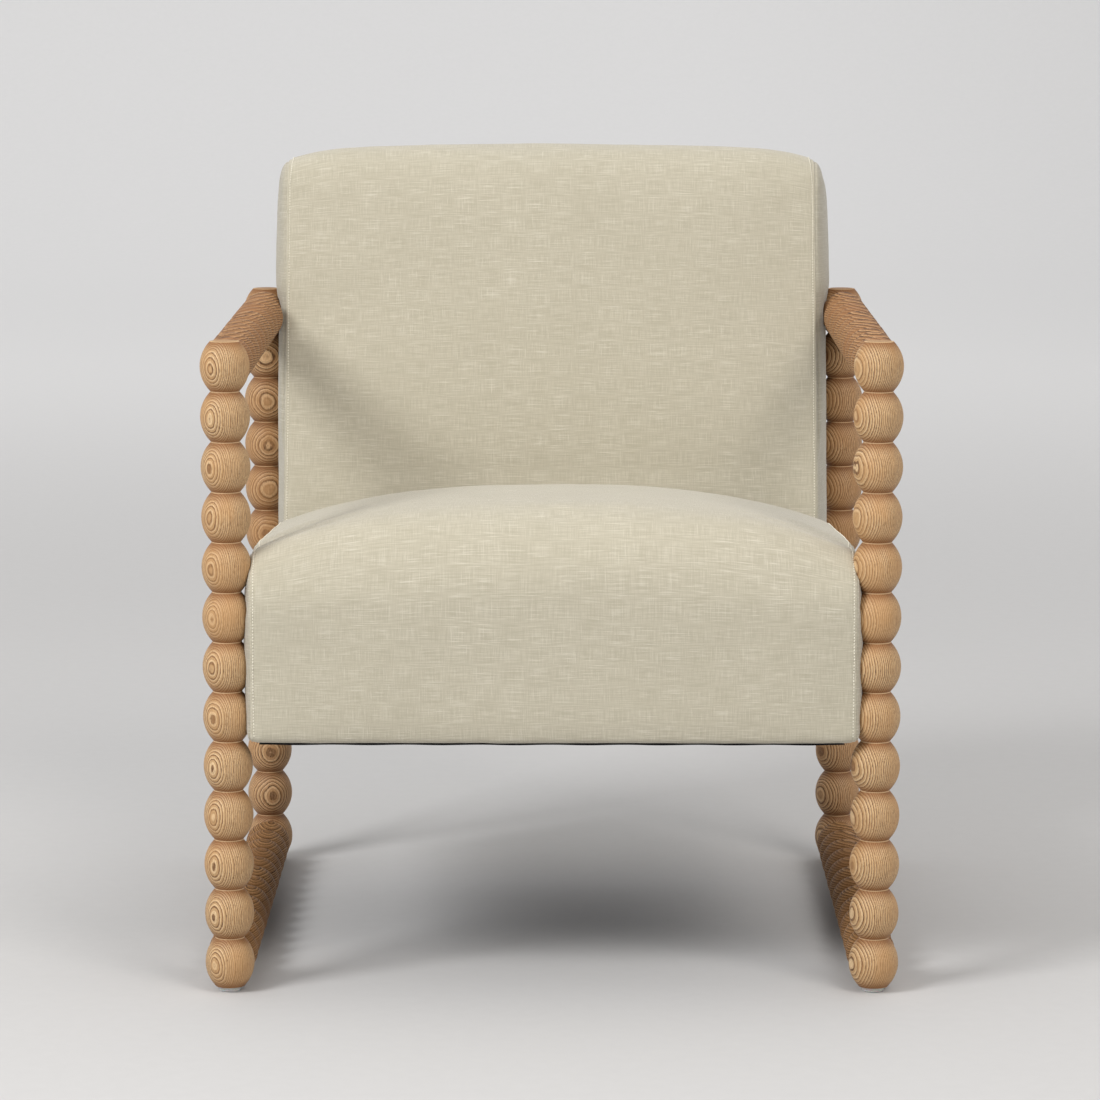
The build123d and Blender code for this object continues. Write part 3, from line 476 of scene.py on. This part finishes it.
def turned_piece(name, beads, seed, material, place, coped=False):
    """Lathe-turned stack of beads along its own Z. Coped ends fit the round of a corner bead."""
    heights, radii = turned_rows(beads, seed)
    total = beads * PITCH
    ends = [NECK_R - END_CHAMFER] + [NECK_R * share for share in END_SHARES]
    first = [(0.0, r) for r in reversed(ends)]
    last = [(total, r) for r in ends]
    rows = first + [(END_CHAMFER, NECK_R)] * (not coped) + list(zip(heights, radii))
    rows += [(total - END_CHAMFER, NECK_R)] * (not coped) + last
    angle = 2 * np.pi * np.arange(SPOKES) / SPOKES
    out_of_round = 1 + OUT_OF_ROUND * np.cos(2 * angle + seed)
    points = []
    for index, (z, r) in enumerate(rows):
        x, y = r * np.cos(angle) * out_of_round, r * np.sin(angle) * out_of_round
        level = np.full(SPOKES, z)
        at_end = index < len(first) or index >= len(rows) - len(last)
        if coped and at_end:
            reach = PITCH / 2 - np.sqrt(bead_radius(y) ** 2 - x ** 2)
            level = -reach if index < len(first) else total + reach
        points.extend(np.column_stack([x, y, level]))
    faces = []
    for row in range(len(rows) - 1):
        low, high = row * SPOKES, (row + 1) * SPOKES
        for k in range(SPOKES):
            n = (k + 1) % SPOKES
            faces.append((low + k, low + n, high + n, high + k))
    faces.append(tuple(reversed(range(SPOKES))))
    top = (len(rows) - 1) * SPOKES
    faces.append(tuple(top + k for k in range(SPOKES)))
    piece = new_object(name, points, faces, [material])
    piece.matrix_world = place
    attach(piece, "root")
    return piece


def turned_frames():
    """Four posts and four rails, each from its own blank."""
    along_y = Matrix.Rotation(-math.pi / 2, 4, "X")
    blanks = {
        "front_post_left": ((-0.034, -0.049), 0.2, FRONT_TINT),
        "front_post_right": ((0.062, 0.020), 0.7, FRONT_TINT),
        "rear_post_left": ((-0.006, 0.058), 0.35, REAR_TINT),
        "rear_post_right": ((0.050, 0.034), 0.9, REAR_TINT),
        "arm_rail_left": ((0.012, 0.055), 0.1, RAIL_TINT_WITH_SHADE),
        "arm_rail_right": ((-0.010, 0.060), 0.6, RAIL_TINT_WITH_SHADE),
        "base_rail_left": ((0.008, -0.050), 0.4, RUNNER_TINT_SHADED),
        "base_rail_right": ((-0.012, 0.052), 0.8, RUNNER_TINT_SHADED),
    }
    for seed, (name, (pith, phase, tint)) in enumerate(blanks.items(), start=3):
        side = SIDES[name.split("_")[-1]]
        ring = RAIL_RING_WIDTH if "rail" in name else RING_WIDTH
        material = turned_wood(f"turned_oak_{name}", pith, phase + 7 * seed, tint, ring)
        if "post" in name:
            y = FRONT_Y if "front" in name else REAR_Y
            place = Matrix.Translation((side * POST_X, y, post_low.z))
            piece = turned_piece(f"{name}_turned", POST_BEADS, seed, material, place)
        else:
            z = ARM_Z if "arm" in name else BASE_Z
            place = Matrix.Translation((side * POST_X, FRONT_Y + PITCH / 2, z)) @ along_y
            piece = turned_piece(f"{name}_turned", RAIL_BEADS, seed, material, place, coped=True)
        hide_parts(name)


# ---- Side-view places on the cushions ----
def seat_at(u, w):
    """Side-view point, u back along the seat from its front and w up from its underside."""
    y = SEAT_FRONT + u * math.cos(SEAT_ANGLE) + w * math.sin(SEAT_ANGLE)
    z = SEAT_BOTTOM - u * math.sin(SEAT_ANGLE) + w * math.cos(SEAT_ANGLE)
    return (y, z)


def seat_uw(y, z):
    """How far along the seat, and how high above its underside, side-view points lie."""
    dy, dz = y - SEAT_FRONT, z - SEAT_BOTTOM
    u = dy * math.cos(SEAT_ANGLE) - dz * math.sin(SEAT_ANGLE)
    w = dy * math.sin(SEAT_ANGLE) + dz * math.cos(SEAT_ANGLE)
    return u, w


def back_at(t, v):
    """Side-view point, t rearwards through the back and v up along it."""
    y = BACK_Y + t * math.cos(BACK_ANGLE) + v * math.sin(BACK_ANGLE)
    z = BACK_Z - t * math.sin(BACK_ANGLE) + v * math.cos(BACK_ANGLE)
    return (y, z)


def back_tv(y, z):
    """How far through the back, and how far up along it, side-view points lie."""
    dy, dz = y - BACK_Y, z - BACK_Z
    t = dy * math.cos(BACK_ANGLE) - dz * math.sin(BACK_ANGLE)
    v = dy * math.sin(BACK_ANGLE) + dz * math.cos(BACK_ANGLE)
    return t, v


def meet(t, w):
    """Side-view point where depth t of the back crosses height w of the seat."""
    at_zero = seat_uw(*back_at(t, 0))[1]
    return back_at(t, (w - at_zero) / math.cos(BACK_ANGLE - SEAT_ANGLE))


# ---- Cushion meshes ----
def rounded_outline(corners, radii, counts, inset):
    """Closed outline with round corners, taken in by inset.

    counts[i] points run from the middle of corner i to the middle of the next one, so the outlines
    of all insets match point for point.
    """
    corners = [Vector(c) for c in corners]
    number = len(corners)
    lines = []
    for i, corner in enumerate(corners):
        along = (corners[(i + 1) % number] - corner).normalized()
        lines.append((corner + inset * Vector((-along.y, along.x)), along))
    shrunk = []
    for i in range(number):
        (p, d), (q, e) = lines[i - 1], lines[i]
        share = ((q - p).cross(e)) / d.cross(e)
        shrunk.append(p + d * share)
    halves = []
    for i, corner in enumerate(shrunk):
        back, ahead = -lines[i - 1][1], lines[i][1]
        half_turn = back.angle(ahead) / 2
        r = max(radii[i] - inset, LEAST_R)
        middle = corner + (back + ahead).normalized() * (r / math.sin(half_turn))
        start = corner + back * (r / math.tan(half_turn)) - middle
        turn = math.pi - 2 * half_turn
        arc = []
        for k in range(2 * ARC_STEPS + 1):
            a = turn * k / (2 * ARC_STEPS)
            arc.append(middle + Matrix.Rotation(a, 2) @ start)
        halves.append((arc[: ARC_STEPS + 1], arc[ARC_STEPS:]))
    outline = []
    for i in range(number):
        path = np.array([*halves[i][1], *halves[(i + 1) % number][0]])
        run = np.concatenate([[0], np.cumsum(np.linalg.norm(np.diff(path, axis=0), axis=1))])
        at = np.linspace(0, run[-1], counts[i], endpoint=False)
        outline.append(np.column_stack([np.interp(at, run, path[:, k]) for k in (0, 1)]))
    return np.concatenate(outline)


def seam_stations(seam_x, bulge, roll):
    """(X, inset, on the side panel) of each outline across a cushion, from the left to the right.

    The main panel rolls down to its seam past a line pulled in by the stitches, and the side panel
    swells out beyond the seam.
    """
    half = []
    for angle in (80, 62, 45, 30, 17, 7):
        a = math.radians(angle)
        half.append((seam_x + bulge * math.sin(a), 0.0022 + roll * (1 - math.cos(a)), True))
    half.append((seam_x + 0.0004, 0.0030, True))
    for back, inset in ((0.0003, 0.0024), (0.0014, 0.0009), (0.0026, 0.0009), (STITCH_INSET, 0.0012)):
        half.append((seam_x - back, inset, False))
    for back, inset in ((0.0044, 0.0007), (0.0062, 0.0002), (0.0095, 0.0), (0.0145, 0.0)):
        half.append((seam_x - back, inset, False))
    inner = half[-1][0]
    middle_count = round(2 * inner / CELL)
    middle = [(x, 0.0, False) for x in np.linspace(-inner, inner, middle_count + 1)[1:-1]]
    left = [(-x, inset, side) for x, inset, side in half]
    return left + middle + half[::-1]


def cushion(name, corners, radii, counts, stations, swell, shift):
    """Closed cushion: outlines carried across it, and a grid over each side panel.

    Returns the object.
    """
    ring = sum(counts)
    base = rounded_outline(corners, radii, counts, 0.0)
    step = np.linalg.norm(np.roll(base, -1, axis=0) - base, axis=1)
    run = np.concatenate([[0], np.cumsum(step)])
    points, faces, cloth, panels = [], [], [], []
    for x, inset, _ in stations:
        outline = rounded_outline(corners, radii, counts, inset)
        points.extend(np.column_stack([np.full(ring, x), outline]))
    for i in range(len(stations) - 1):
        on_side = stations[i][2] or stations[i + 1][2]
        for k in range(ring):
            n = (k + 1) % ring
            face = (i * ring + k, i * ring + n, (i + 1) * ring + n, (i + 1) * ring + k)
            faces.append(face)
            panels.append(1 if on_side else 0)
            if on_side:
                cloth.extend([tuple(points[v][1:]) for v in face])
            else:
                x0, x1 = stations[i][0], stations[i + 1][0]
                cloth.extend([(x0, run[k]), (x0, run[k + 1]), (x1, run[k + 1]), (x1, run[k])])
    long, short = counts[0], counts[1]
    for end, flip in ((0, False), (len(stations) - 1, True)):
        ids = end * ring + np.arange(ring)
        low = ids[: long + 1]
        far = ids[long : long + short + 1]
        high = ids[long + short : 2 * long + short + 1][::-1]
        near = np.append(ids[2 * long + short :], ids[0])[::-1]
        grid = np.zeros((long + 1, short + 1), int)
        grid[:, 0], grid[:, -1], grid[0, :], grid[-1, :] = low, high, near, far
        place = np.array(points)
        x = stations[end][0]
        edge = {key: place[value] for key, value in (("l", low), ("h", high), ("n", near), ("f", far))}
        for a in range(1, long):
            for b in range(1, short):
                s, t = a / long, b / short
                p = (1 - t) * edge["l"][a] + t * edge["h"][a] + (1 - s) * edge["n"][b] + s * edge["f"][b]
                p = p - (1 - s) * (1 - t) * edge["l"][0] - s * (1 - t) * edge["l"][-1]
                p = p - (1 - s) * t * edge["h"][0] - s * t * edge["h"][-1]
                grid[a, b] = len(points)
                points.append(np.array([x, p[1], p[2]]))
        for a in range(long):
            for b in range(short):
                face = (grid[a, b], grid[a + 1, b], grid[a + 1, b + 1], grid[a, b + 1])
                face = face if flip else face[::-1]
                faces.append(tuple(int(v) for v in face))
                panels.append(1)
                cloth.extend([tuple(points[v][1:]) for v in face])
    points = np.array(points)
    points = swell(points)
    points[:, 0] += shift
    piece = new_object(name, points, faces, [linen, linen_side_shaded])
    piece.data.polygons.foreach_set("material_index", panels)
    layer = piece.data.uv_layers.new(name="cloth")
    layer.data.foreach_set("uv", np.array(cloth, np.float32).ravel())
    return piece


def pressed(x, off, along, beside):
    """X of points kept clear of a row of beads: off its axis, along it, and beside it or not."""
    reach = bead_radius(along % PITCH - PITCH / 2) + CONTACT_GAP
    room = POST_X - np.sqrt(np.maximum(reach ** 2 - off ** 2, 0))
    return np.where(beside & (np.abs(off) < reach), np.sign(x) * np.minimum(np.abs(x), room), x)


def clear_of_beads(points):
    """Presses points that are inside a post or a rail back to its surface."""
    points = points.copy()
    x, y, z = points.T
    for post_y in (FRONT_Y, REAR_Y):
        x = pressed(x, y - post_y, z - post_low.z, (z > post_low.z) & (z < post_high.z))
    points[:, 0] = pressed(x, z - ARM_Z, y - FRONT_Y + PITCH / 2, (y > FRONT_Y) & (y < REAR_Y))
    return points


def inflate(piece, held, reach):
    """Cloth simulation of the cover under the pressure of its filling.

    held is 1 where the cover is sewn or fixed. No point ends further than reach from its start.
    """
    start = coordinates(piece.data)
    group = piece.vertex_groups.new(name="held")
    for weight in np.unique(held):
        group.add(np.flatnonzero(held == weight).tolist(), float(weight), "REPLACE")
    cloth = piece.modifiers.new("Cloth", "CLOTH")
    cloth.settings.quality = 5
    cloth.settings.mass = 0.3
    cloth.settings.tension_stiffness = 25
    cloth.settings.compression_stiffness = 25
    cloth.settings.shear_stiffness = 8
    cloth.settings.bending_stiffness = 1.5
    cloth.settings.vertex_group_mass = "held"
    cloth.settings.use_pressure = True
    cloth.settings.uniform_pressure_force = SIM_PRESSURE
    cloth.settings.effector_weights.gravity = 0
    cloth.point_cache.frame_start = 1
    cloth.point_cache.frame_end = SIM_FRAMES
    for number in range(1, SIM_FRAMES + 1):
        scene.frame_set(number)
    shown = piece.evaluated_get(bpy.context.evaluated_depsgraph_get())
    moved = coordinates(shown.data) - start
    piece.modifiers.remove(cloth)
    piece.vertex_groups.clear()
    scene.frame_set(1)
    far = np.linalg.norm(moved, axis=1, keepdims=True)
    limit = reach[:, None]
    share = np.tanh(far / limit) * limit / np.maximum(far, 1e-9)
    move_points(piece, start + moved * share)


def subdivided(piece):
    """One Catmull-Clark subdivision, applied."""
    smoother = piece.modifiers.new("Smooth", "SUBSURF")
    smoother.levels = 1
    smoother.render_levels = 1
    graph = bpy.context.evaluated_depsgraph_get()
    shown = piece.evaluated_get(graph)
    mesh = bpy.data.meshes.new_from_object(shown, preserve_all_data_layers=True, depsgraph=graph)
    mesh.name = piece.name
    piece.modifiers.clear()
    piece.data = mesh


def handled(points, amount, size, seed):
    """Small soft unevenness, as cloth over filling has."""
    moved = points.copy()
    for i, p in enumerate(points):
        spot = Vector(p) / size + Vector((seed, 0, 0))
        moved[i] += np.array(noise.noise_vector(spot)) * amount
    return moved


def rest_on_beads(piece, seed):
    """Gives a cushion its soft unevenness, large and small, and presses it clear of the beads."""
    points = handled(coordinates(piece.data), 0.0008, 0.09, seed)
    points = handled(points, 0.00025, 0.02, seed + 3)
    move_points(piece, clear_of_beads(points))


def stitch_line(cover, along, x):
    """Row of small raised stitches on the cover, over the side-view path along, at one X."""
    tree = BVHTree.FromObject(cover, bpy.context.evaluated_depsgraph_get())
    run = np.concatenate([[0], np.cumsum(np.linalg.norm(np.diff(along, axis=0), axis=1))])
    spots = np.arange(STITCH_PITCH, run[-1], STITCH_PITCH)
    places = np.column_stack([np.interp(spots, run, along[:, k]) for k in (0, 1)])
    rows = [(-0.5, 0.15), (-0.36, 0.8), (0.0, 1.0), (0.36, 0.8), (0.5, 0.15)]
    sides = STITCH_SIDES
    points, faces, feet = [], [], []
    for y, z in places:
        spot, normal, _, _ = tree.find_nearest(Vector((x, y, z)))
        feet.append((spot, normal))
    for i in range(1, len(feet) - 1):
        spot, normal = feet[i]
        forward = (feet[i + 1][0] - feet[i - 1][0]).normalized()
        across = forward.cross(normal).normalized()
        up = across.cross(forward)
        first = len(points)
        for share, girth in rows:
            lift = 0.00018 + 0.00026 * (1 - 3.2 * share * share)
            middle = spot + forward * (share * STITCH_LONG) + up * lift
            for k in range(sides):
                a = 2 * math.pi * k / sides
                spoke = across * math.cos(a) * 1.15 + up * math.sin(a)
                points.append(middle + spoke * (STITCH_THICK * girth))
        for row in range(len(rows) - 1):
            for k in range(sides):
                n = (k + 1) % sides
                low, high = first + row * sides, first + (row + 1) * sides
                faces.append((low + k, high + k, high + n, low + n))
        faces.append(tuple(first + k for k in range(sides)))
        end = first + (len(rows) - 1) * sides
        faces.append(tuple(end + k for k in reversed(range(sides))))
    return points, faces


def stitches(name, cover, lines):
    """All topstitching of one cushion as one piece; lines are (side-view path, X) pairs."""
    points, faces = [], []
    for path, x in lines:
        more, more_faces = stitch_line(cover, path, x)
        faces.extend([tuple(v + len(points) for v in face) for face in more_faces])
        points.extend(more)
    piece = new_object(name, points, faces, [thread_stuff])
    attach(piece, "root")


# ---- Seat ----
SEAT_CORNERS = [
    seat_at(0.0, FOOT), meet(-CONTACT_GAP, FOOT), meet(-CONTACT_GAP, SEAT_THICK),
    seat_at(-SEAT_LEAN, SEAT_THICK),
]
SEAT_RADII = [0.006, 0.004, 0.03, SEAT_NOSE_R]


def seat_swell(points):
    """Crown across the top of the seat, with a pull from each front corner."""
    x, y, z = points.T.copy()
    across = np.clip(np.abs(x) / SEAT_SEAM_X, 0, 1)
    behind = y - FRONT_Y
    u, w = seat_uw(y, z)
    dish = SEAT_DISH * ((behind - SEAT_DISH_Y) / SEAT_DISH_Y) ** 2
    crown = (SEAT_CROWN - dish) * (1 - across ** 3.2)
    top = smooth_step(w, 0.11, SEAT_THICK)
    at_rear = smooth_step(u, 0.40, 0.52)
    # A soft fold runs inwards and back from each front post
    valley_y = 0.040 + (0.302 - np.abs(x)) * 1.48
    off = (behind - valley_y) * 0.56
    near = smooth_step(np.abs(x), 0.13, 0.28)
    valley = (0.003 + 0.0045 * near) * near * np.exp(-((off / (0.021 - 0.008 * near)) ** 2))
    points[:, 2] = z + (crown - valley) * top
    points[:, 1] = y + crown * top * at_rear * math.tan(BACK_ANGLE)
    return points


def seat():
    """Tight seat: sewn cover over foam, swollen by its filling and pressed by the posts."""
    long, short = round(0.55 / CELL), round(0.19 / CELL)
    stations = seam_stations(SEAT_SEAM_X, SEAT_SIDE_BULGE, SEAT_SIDE_ROLL)
    counts = (long, short, long, short)
    piece = cushion("seat_cushion", SEAT_CORNERS, SEAT_RADII, counts, stations, seat_swell, SEAT_SHIFT)
    start = coordinates(piece.data)
    y, z = start.T[1:]
    w = seat_uw(y, z)[1]
    ring = sum(counts)
    held = np.zeros(len(start))
    for i, station in enumerate(stations):
        if SEAT_SEAM_X - SEAM_HELD < abs(station[0]) < SEAT_SEAM_X + SEAM_REST:
            held[i * ring : (i + 1) * ring] = 1
    held[w < HEM] = 1
    held[back_tv(y, z)[0] > -0.004] = 1
    reach = np.full(len(start), SIM_REACH)
    reach *= 1 - 0.6 * smooth_step(-y, -(SEAT_FRONT + 0.03), -SEAT_FRONT)
    inflate(piece, held, reach)
    subdivided(piece)
    rest_on_beads(piece, 2.0)
    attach(piece, "root")
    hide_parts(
        "seat_cover", "seat_foam", "seat_front_padding", "seat_side_padding_left",
        "seat_side_padding_right",
    )
    outline = rounded_outline(SEAT_CORNERS, SEAT_RADII, counts, 0.0)
    path = np.concatenate([outline[long + short + 6 :], outline[:1]])[::-1]
    lines = []
    for side in SIDES.values():
        lines.append((path, side * (SEAT_SEAM_X - STITCH_INSET) + SEAT_SHIFT))
    stitches("seat_topstitch", piece, lines)


# ---- Back ----
BACK_CORNERS = [
    meet(0.0, FOOT), meet(BACK_THICK, FOOT), back_at(BACK_THICK, BACK_TOP), back_at(0.0, BACK_TOP),
]
BACK_RADII = [0.004, 0.003, 0.030, 0.038]


def back_swell(points):
    """Crown along the top edge of the back and a soft swell of its front."""
    x, y, z = points.T.copy()
    across = np.clip(np.abs(x) / BACK_SEAM_X, 0, 1)
    t, v = back_tv(y, z)
    rise = 0.009 - 0.006 * across ** 2.5 - 0.012 * across ** 9
    lift = rise * smooth_step(v, 0.30, BACK_TOP)
    above_seat = smooth_step(v, 0.05, 0.16) * (1 - smooth_step(v, 0.33, 0.45))
    front = 1 - smooth_step(t, 0.0, 0.05)
    forward = 0.005 * (1 - across ** 2.6) * above_seat * front
    # The side panels lie flatter from just above the arms downwards
    squeeze = smooth_step(ARM_Z + 0.035 - z, 0.0, 0.03) * 0.0045
    sideways = np.sign(x) * np.where(np.abs(x) > BACK_SEAM_X + 0.002, squeeze, 0)
    w = seat_uw(y, z)[1]
    # The low rear edge is brought out over the frame, and so is the right side where it is hidden
    low_edge = smooth_step(t, 0.118, 0.124) * (1 - smooth_step(w, 0.0, 0.02))
    out_of_sight = np.maximum(smooth_step(t, 0.03, 0.08), 1 - smooth_step(w, 0.12, 0.17))
    over_frame = BACK_COVERS_FRAME * out_of_sight * smooth_step(x, 0.2, BACK_SEAM_X)
    points[:, 0] = x - sideways + over_frame
    points[:, 1] = y + lift * math.sin(BACK_ANGLE) - forward * math.cos(BACK_ANGLE) + 0.0016 * low_edge
    points[:, 2] = z + lift * math.cos(BACK_ANGLE) + forward * math.sin(BACK_ANGLE) - 0.0012 * low_edge
    return points


def back():
    """Tight back: sewn cover with boxed sides that swell beyond their seams."""
    long, short = round(0.125 / CELL), round(0.64 / CELL)
    stations = seam_stations(BACK_SEAM_X, BACK_SIDE_BULGE, BACK_SIDE_ROLL)
    counts = (long, short, long, short)
    piece = cushion("back_cushion", BACK_CORNERS, BACK_RADII, counts, stations, back_swell, BACK_SHIFT)
    start = coordinates(piece.data)
    y, z = start.T[1:]
    t, v = back_tv(y, z)
    ring = sum(counts)
    held = np.zeros(len(start))
    for i, station in enumerate(stations):
        if BACK_SEAM_X - SEAM_HELD < abs(station[0]) < BACK_SEAM_X + SEAM_REST:
            held[i * ring : (i + 1) * ring] = 1
    held[seat_uw(y, z)[1] < HEM] = 1
    held[(v < 0.06) & (t < 0.004)] = 1
    reach = np.where(t > BACK_THICK - 0.02, SIM_REACH / 2, SIM_REACH)
    inflate(piece, held, reach)
    subdivided(piece)
    rest_on_beads(piece, 3.0)
    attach(piece, "root")
    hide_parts("back_cover", "back_foam", "back_side_padding_left", "back_side_padding_right")
    outline = rounded_outline(BACK_CORNERS, BACK_RADII, counts, 0.0)
    path = outline[long + 3 : 2 * long + 2 * short]
    lines = []
    for side in SIDES.values():
        lines.append((path, side * (BACK_SEAM_X - STITCH_INSET) + BACK_SHIFT))
    stitches("back_topstitch", piece, lines)


# ---- Cloth sheets inside and under the chair ----
def cloth_sheet(name, corner_low, corner_high, at, thick, sag, material):
    """Closed thin sheet over a side-view line, between two X; sag(x share, u share) lowers it."""
    cells_x, cells_u = 96, 90
    points, cloth = [], []
    for layer in (0, 1):
        for i in range(cells_x + 1):
            for j in range(cells_u + 1):
                x = corner_low[0] + (corner_high[0] - corner_low[0]) * i / cells_x
                u = corner_low[1] + (corner_high[1] - corner_low[1]) * j / cells_u
                w = at + thick * (layer - 0.5) - sag(i / cells_x, j / cells_u)
                y, z = seat_at(u, w)
                points.append((x, y, z))
                cloth.append((x, u))
    row = cells_u + 1
    layer_size = (cells_x + 1) * row
    faces = []
    for i in range(cells_x):
        for j in range(cells_u):
            a = i * row + j
            faces.append((a, a + 1, a + row + 1, a + row))
            b = a + layer_size
            faces.append((b, b + row, b + row + 1, b + 1))
    rim = [i * row for i in range(cells_x)] + [cells_x * row + j for j in range(cells_u)]
    rim += [i * row + cells_u for i in range(cells_x, 0, -1)] + [j for j in range(cells_u, 0, -1)]
    for a, b in zip(rim, rim[1:] + rim[:1]):
        faces.append((a, b, b + layer_size, a + layer_size))
    piece = new_object(name, points, faces, [material])
    layer = piece.data.uv_layers.new(name="cloth")
    for loop in piece.data.loops:
        layer.data[loop.index].uv = cloth[loop.vertex_index]
    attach(piece, "root")
    return piece


def dust_cover():
    """Black cloth stapled under the chair, sagging a little between its staples."""
    low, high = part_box("dust_cover")
    end_u = seat_uw(high.y, low.z)[0]
    waves = 2 * math.pi * STAPLE_GAPS

    def sag(across, along):
        belly = 0.0035 * math.sin(math.pi * across) * math.sin(math.pi * along)
        front = 0.0003 * (1 - math.cos(waves * across)) * math.exp(-along / 0.05)
        side = 0.0006 * (1 - math.cos(waves * along))
        return belly + front + side * math.exp(-min(across, 1 - across) / 0.03)

    piece = cloth_sheet(
        "dust_cloth", (low.x, HEM), (high.x, end_u), DUST_W, DUST_T, sag, dust_cloth,
    )
    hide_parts("dust_cover")


def deck_felt():
    """Needled felt over the seat springs, which print through it a little."""
    low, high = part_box("seat_deck_pad")
    start_u = 0.004
    end_u = seat_uw(high.y, high.z)[0] - 0.002

    def sag(across, along):
        return 0.0004 * math.sin(40 * along) * math.sin(9 * math.pi * across)

    piece = cloth_sheet(
        "deck_felt", (low.x, start_u), (high.x, end_u), FELT_W, FELT_T, sag, MATERIALS["felt"],
    )
    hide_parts("seat_deck_pad")


# ---- Carried-over CAD pieces ----
def dress_cad_nodes():
    """Gives every CAD node its slot's material, boards with their grain along their length."""
    boards = [
        board_wood(f"frame_wood_{axis}", (168, 134, 92), (206, 176, 131), along)
        for along, axis in enumerate("xyz")
    ]
    for entry in frame["record"]["subparts"]:
        node = frame["nodes"][entry["node"]]
        slot = entry["material_slot"]
        if slot == "frame_wood":
            low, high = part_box(entry["node"])
            size = list(high - low)
            material = boards[size.index(max(size))]
        else:
            material = MATERIALS[slot]
        node.data.materials.clear()
        node.data.materials.append(material)
        if slot in ("linen", "webbing", "dust_cloth"):
            add_cloth_map(node)


def add_cloth_map(node):
    """Flat cloth map for a CAD node, along X and along the larger of its other two sizes."""
    low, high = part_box(node["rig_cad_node"])
    other = 1 if high.y - low.y > high.z - low.z else 2
    layer = node.data.uv_layers.new(name="cloth")
    for loop in node.data.loops:
        place = node.data.vertices[loop.vertex_index].co
        layer.data[loop.index].uv = (place.x, place[other])


dress_cad_nodes()
turned_frames()
seat()
back()
dust_cover()
deck_felt()


# ---- Room, lights and camera ----
def backdrop():
    """Pale seamless floor, round the chair on every side, that curves up into a wall far away, and glows
    as painted light.
    """
    flat_r, curve_r, wall_top, spokes = 9.0, 3.0, 7.0, 64
    profile = [(1.5, 0.0), (4.0, 0.0), (flat_r, 0.0)]
    for k in range(1, 17):
        a = math.pi / 2 * k / 16
        profile.append((flat_r + curve_r * math.sin(a), curve_r * (1 - math.cos(a))))
    profile.append((flat_r + curve_r, wall_top))
    points, faces = [], []
    for r, z in profile:
        for k in range(spokes):
            a = 2 * math.pi * k / spokes
            points.append((r * math.cos(a), r * math.sin(a), z))
    for row in range(len(profile) - 1):
        low, high = row * spokes, (row + 1) * spokes
        for k in range(spokes):
            n = (k + 1) % spokes
            faces.append((low + k, high + k, high + n, low + n))
    faces.append(tuple(range(spokes)))
    shader = Shader("glowing_backdrop")
    place = shader.add("TexCoord").outputs["Object"]
    grain = shader.noise(shader.vector("MULTIPLY", place, (60.0, 60.0, 60.0)), detail=3.0)
    tone = shader.mix(grain, srgb(198, 198, 199), srgb(202, 202, 203))
    away = shader.vector("LENGTH", place)
    # The paper glows as painted light, stronger further from the chair and behind it.
    near_glow = shader.remap(away, 1.8, 6.5, 0.0, 0.21)
    glow = shader.math("ADD", near_glow, shader.remap(away, 7.0, 12.5, 0.0, 0.05))
    split = shader.add("SeparateXYZ", [(0, place)]).outputs
    behind = shader.remap(split["Y"], -3.0, 3.0, 0.2, 1.0)
    # Less glow towards the right: painted shade on that side.
    shade_to_right = shader.remap(split["X"], 0.2, 2.4, 1.0, 0.76)
    glow = shader.math("MULTIPLY", glow, shader.math("MULTIPLY", behind, shade_to_right))
    glowing_paper = shader.finish(
        Base_Color=tone, Roughness=0.9, Specular_IOR_Level=0.2,
        Emission_Color=(1.0, 1.0, 1.0, 1.0), Emission_Strength=glow,
    )
    floor = new_object("backdrop", points, faces, [glowing_paper])
    floor.visible_shadow = False


def soft_box(name, azimuth, elevation, size, power, tint):
    """Square softbox turned to the chair; azimuth runs from its front towards its right."""
    lamp = bpy.data.lights.new(name, "AREA")
    lamp.shape = "SQUARE"
    lamp.size = size
    lamp.energy = power
    lamp.color = tint
    a, e = math.radians(azimuth), math.radians(elevation)
    towards = Vector((math.sin(a) * math.cos(e), -math.cos(a) * math.cos(e), math.sin(e)))
    box = bpy.data.objects.new(name, lamp)
    box.location = LIGHT_AIM + towards * LIGHT_DISTANCE
    box.rotation_euler = towards.to_track_quat("Z", "Y").to_euler()
    box.visible_camera = False
    scene.collection.objects.link(box)


def studio():
    """Soft studio light and the camera."""
    backdrop()
    soft_box("key", -45, 36, 1.9, 200.0, (1.0, 0.99, 0.97))
    soft_box("fill", 32, 40, 2.1, 100.0, (1.0, 0.95, 0.89))
    world = bpy.data.worlds.new("studio_air")
    world.use_nodes = True
    nodes, links = world.node_tree.nodes, world.node_tree.links
    direction = nodes.new("ShaderNodeTexCoord").outputs["Generated"]
    split = nodes.new("ShaderNodeSeparateXYZ")
    links.new(direction, split.inputs[0])
    strength = nodes.new("ShaderNodeMapRange")
    strength.inputs["To Min"].default_value = 0.31
    strength.inputs["To Max"].default_value = 0.92
    links.new(split.outputs["Z"], strength.inputs["Value"])
    nodes["Background"].inputs["Color"].default_value = (1.0, 0.985, 0.965, 1.0)
    links.new(strength.outputs["Result"], nodes["Background"].inputs["Strength"])
    scene.world = world
    scene.view_settings.view_transform = "Standard"
    lens = bpy.data.cameras.new("camera")
    lens.lens = LENS
    lens.sensor_width = 36
    lens.clip_end = 50
    camera = bpy.data.objects.new("camera", lens)
    camera.location = (CAMERA_X, FRONT_Y - CAMERA_DISTANCE, CAMERA_Z)
    camera.rotation_euler = (math.radians(CAMERA_TILT), 0.0, math.radians(CAMERA_TURN))
    scene.collection.objects.link(camera)
    scene.camera = camera


studio()
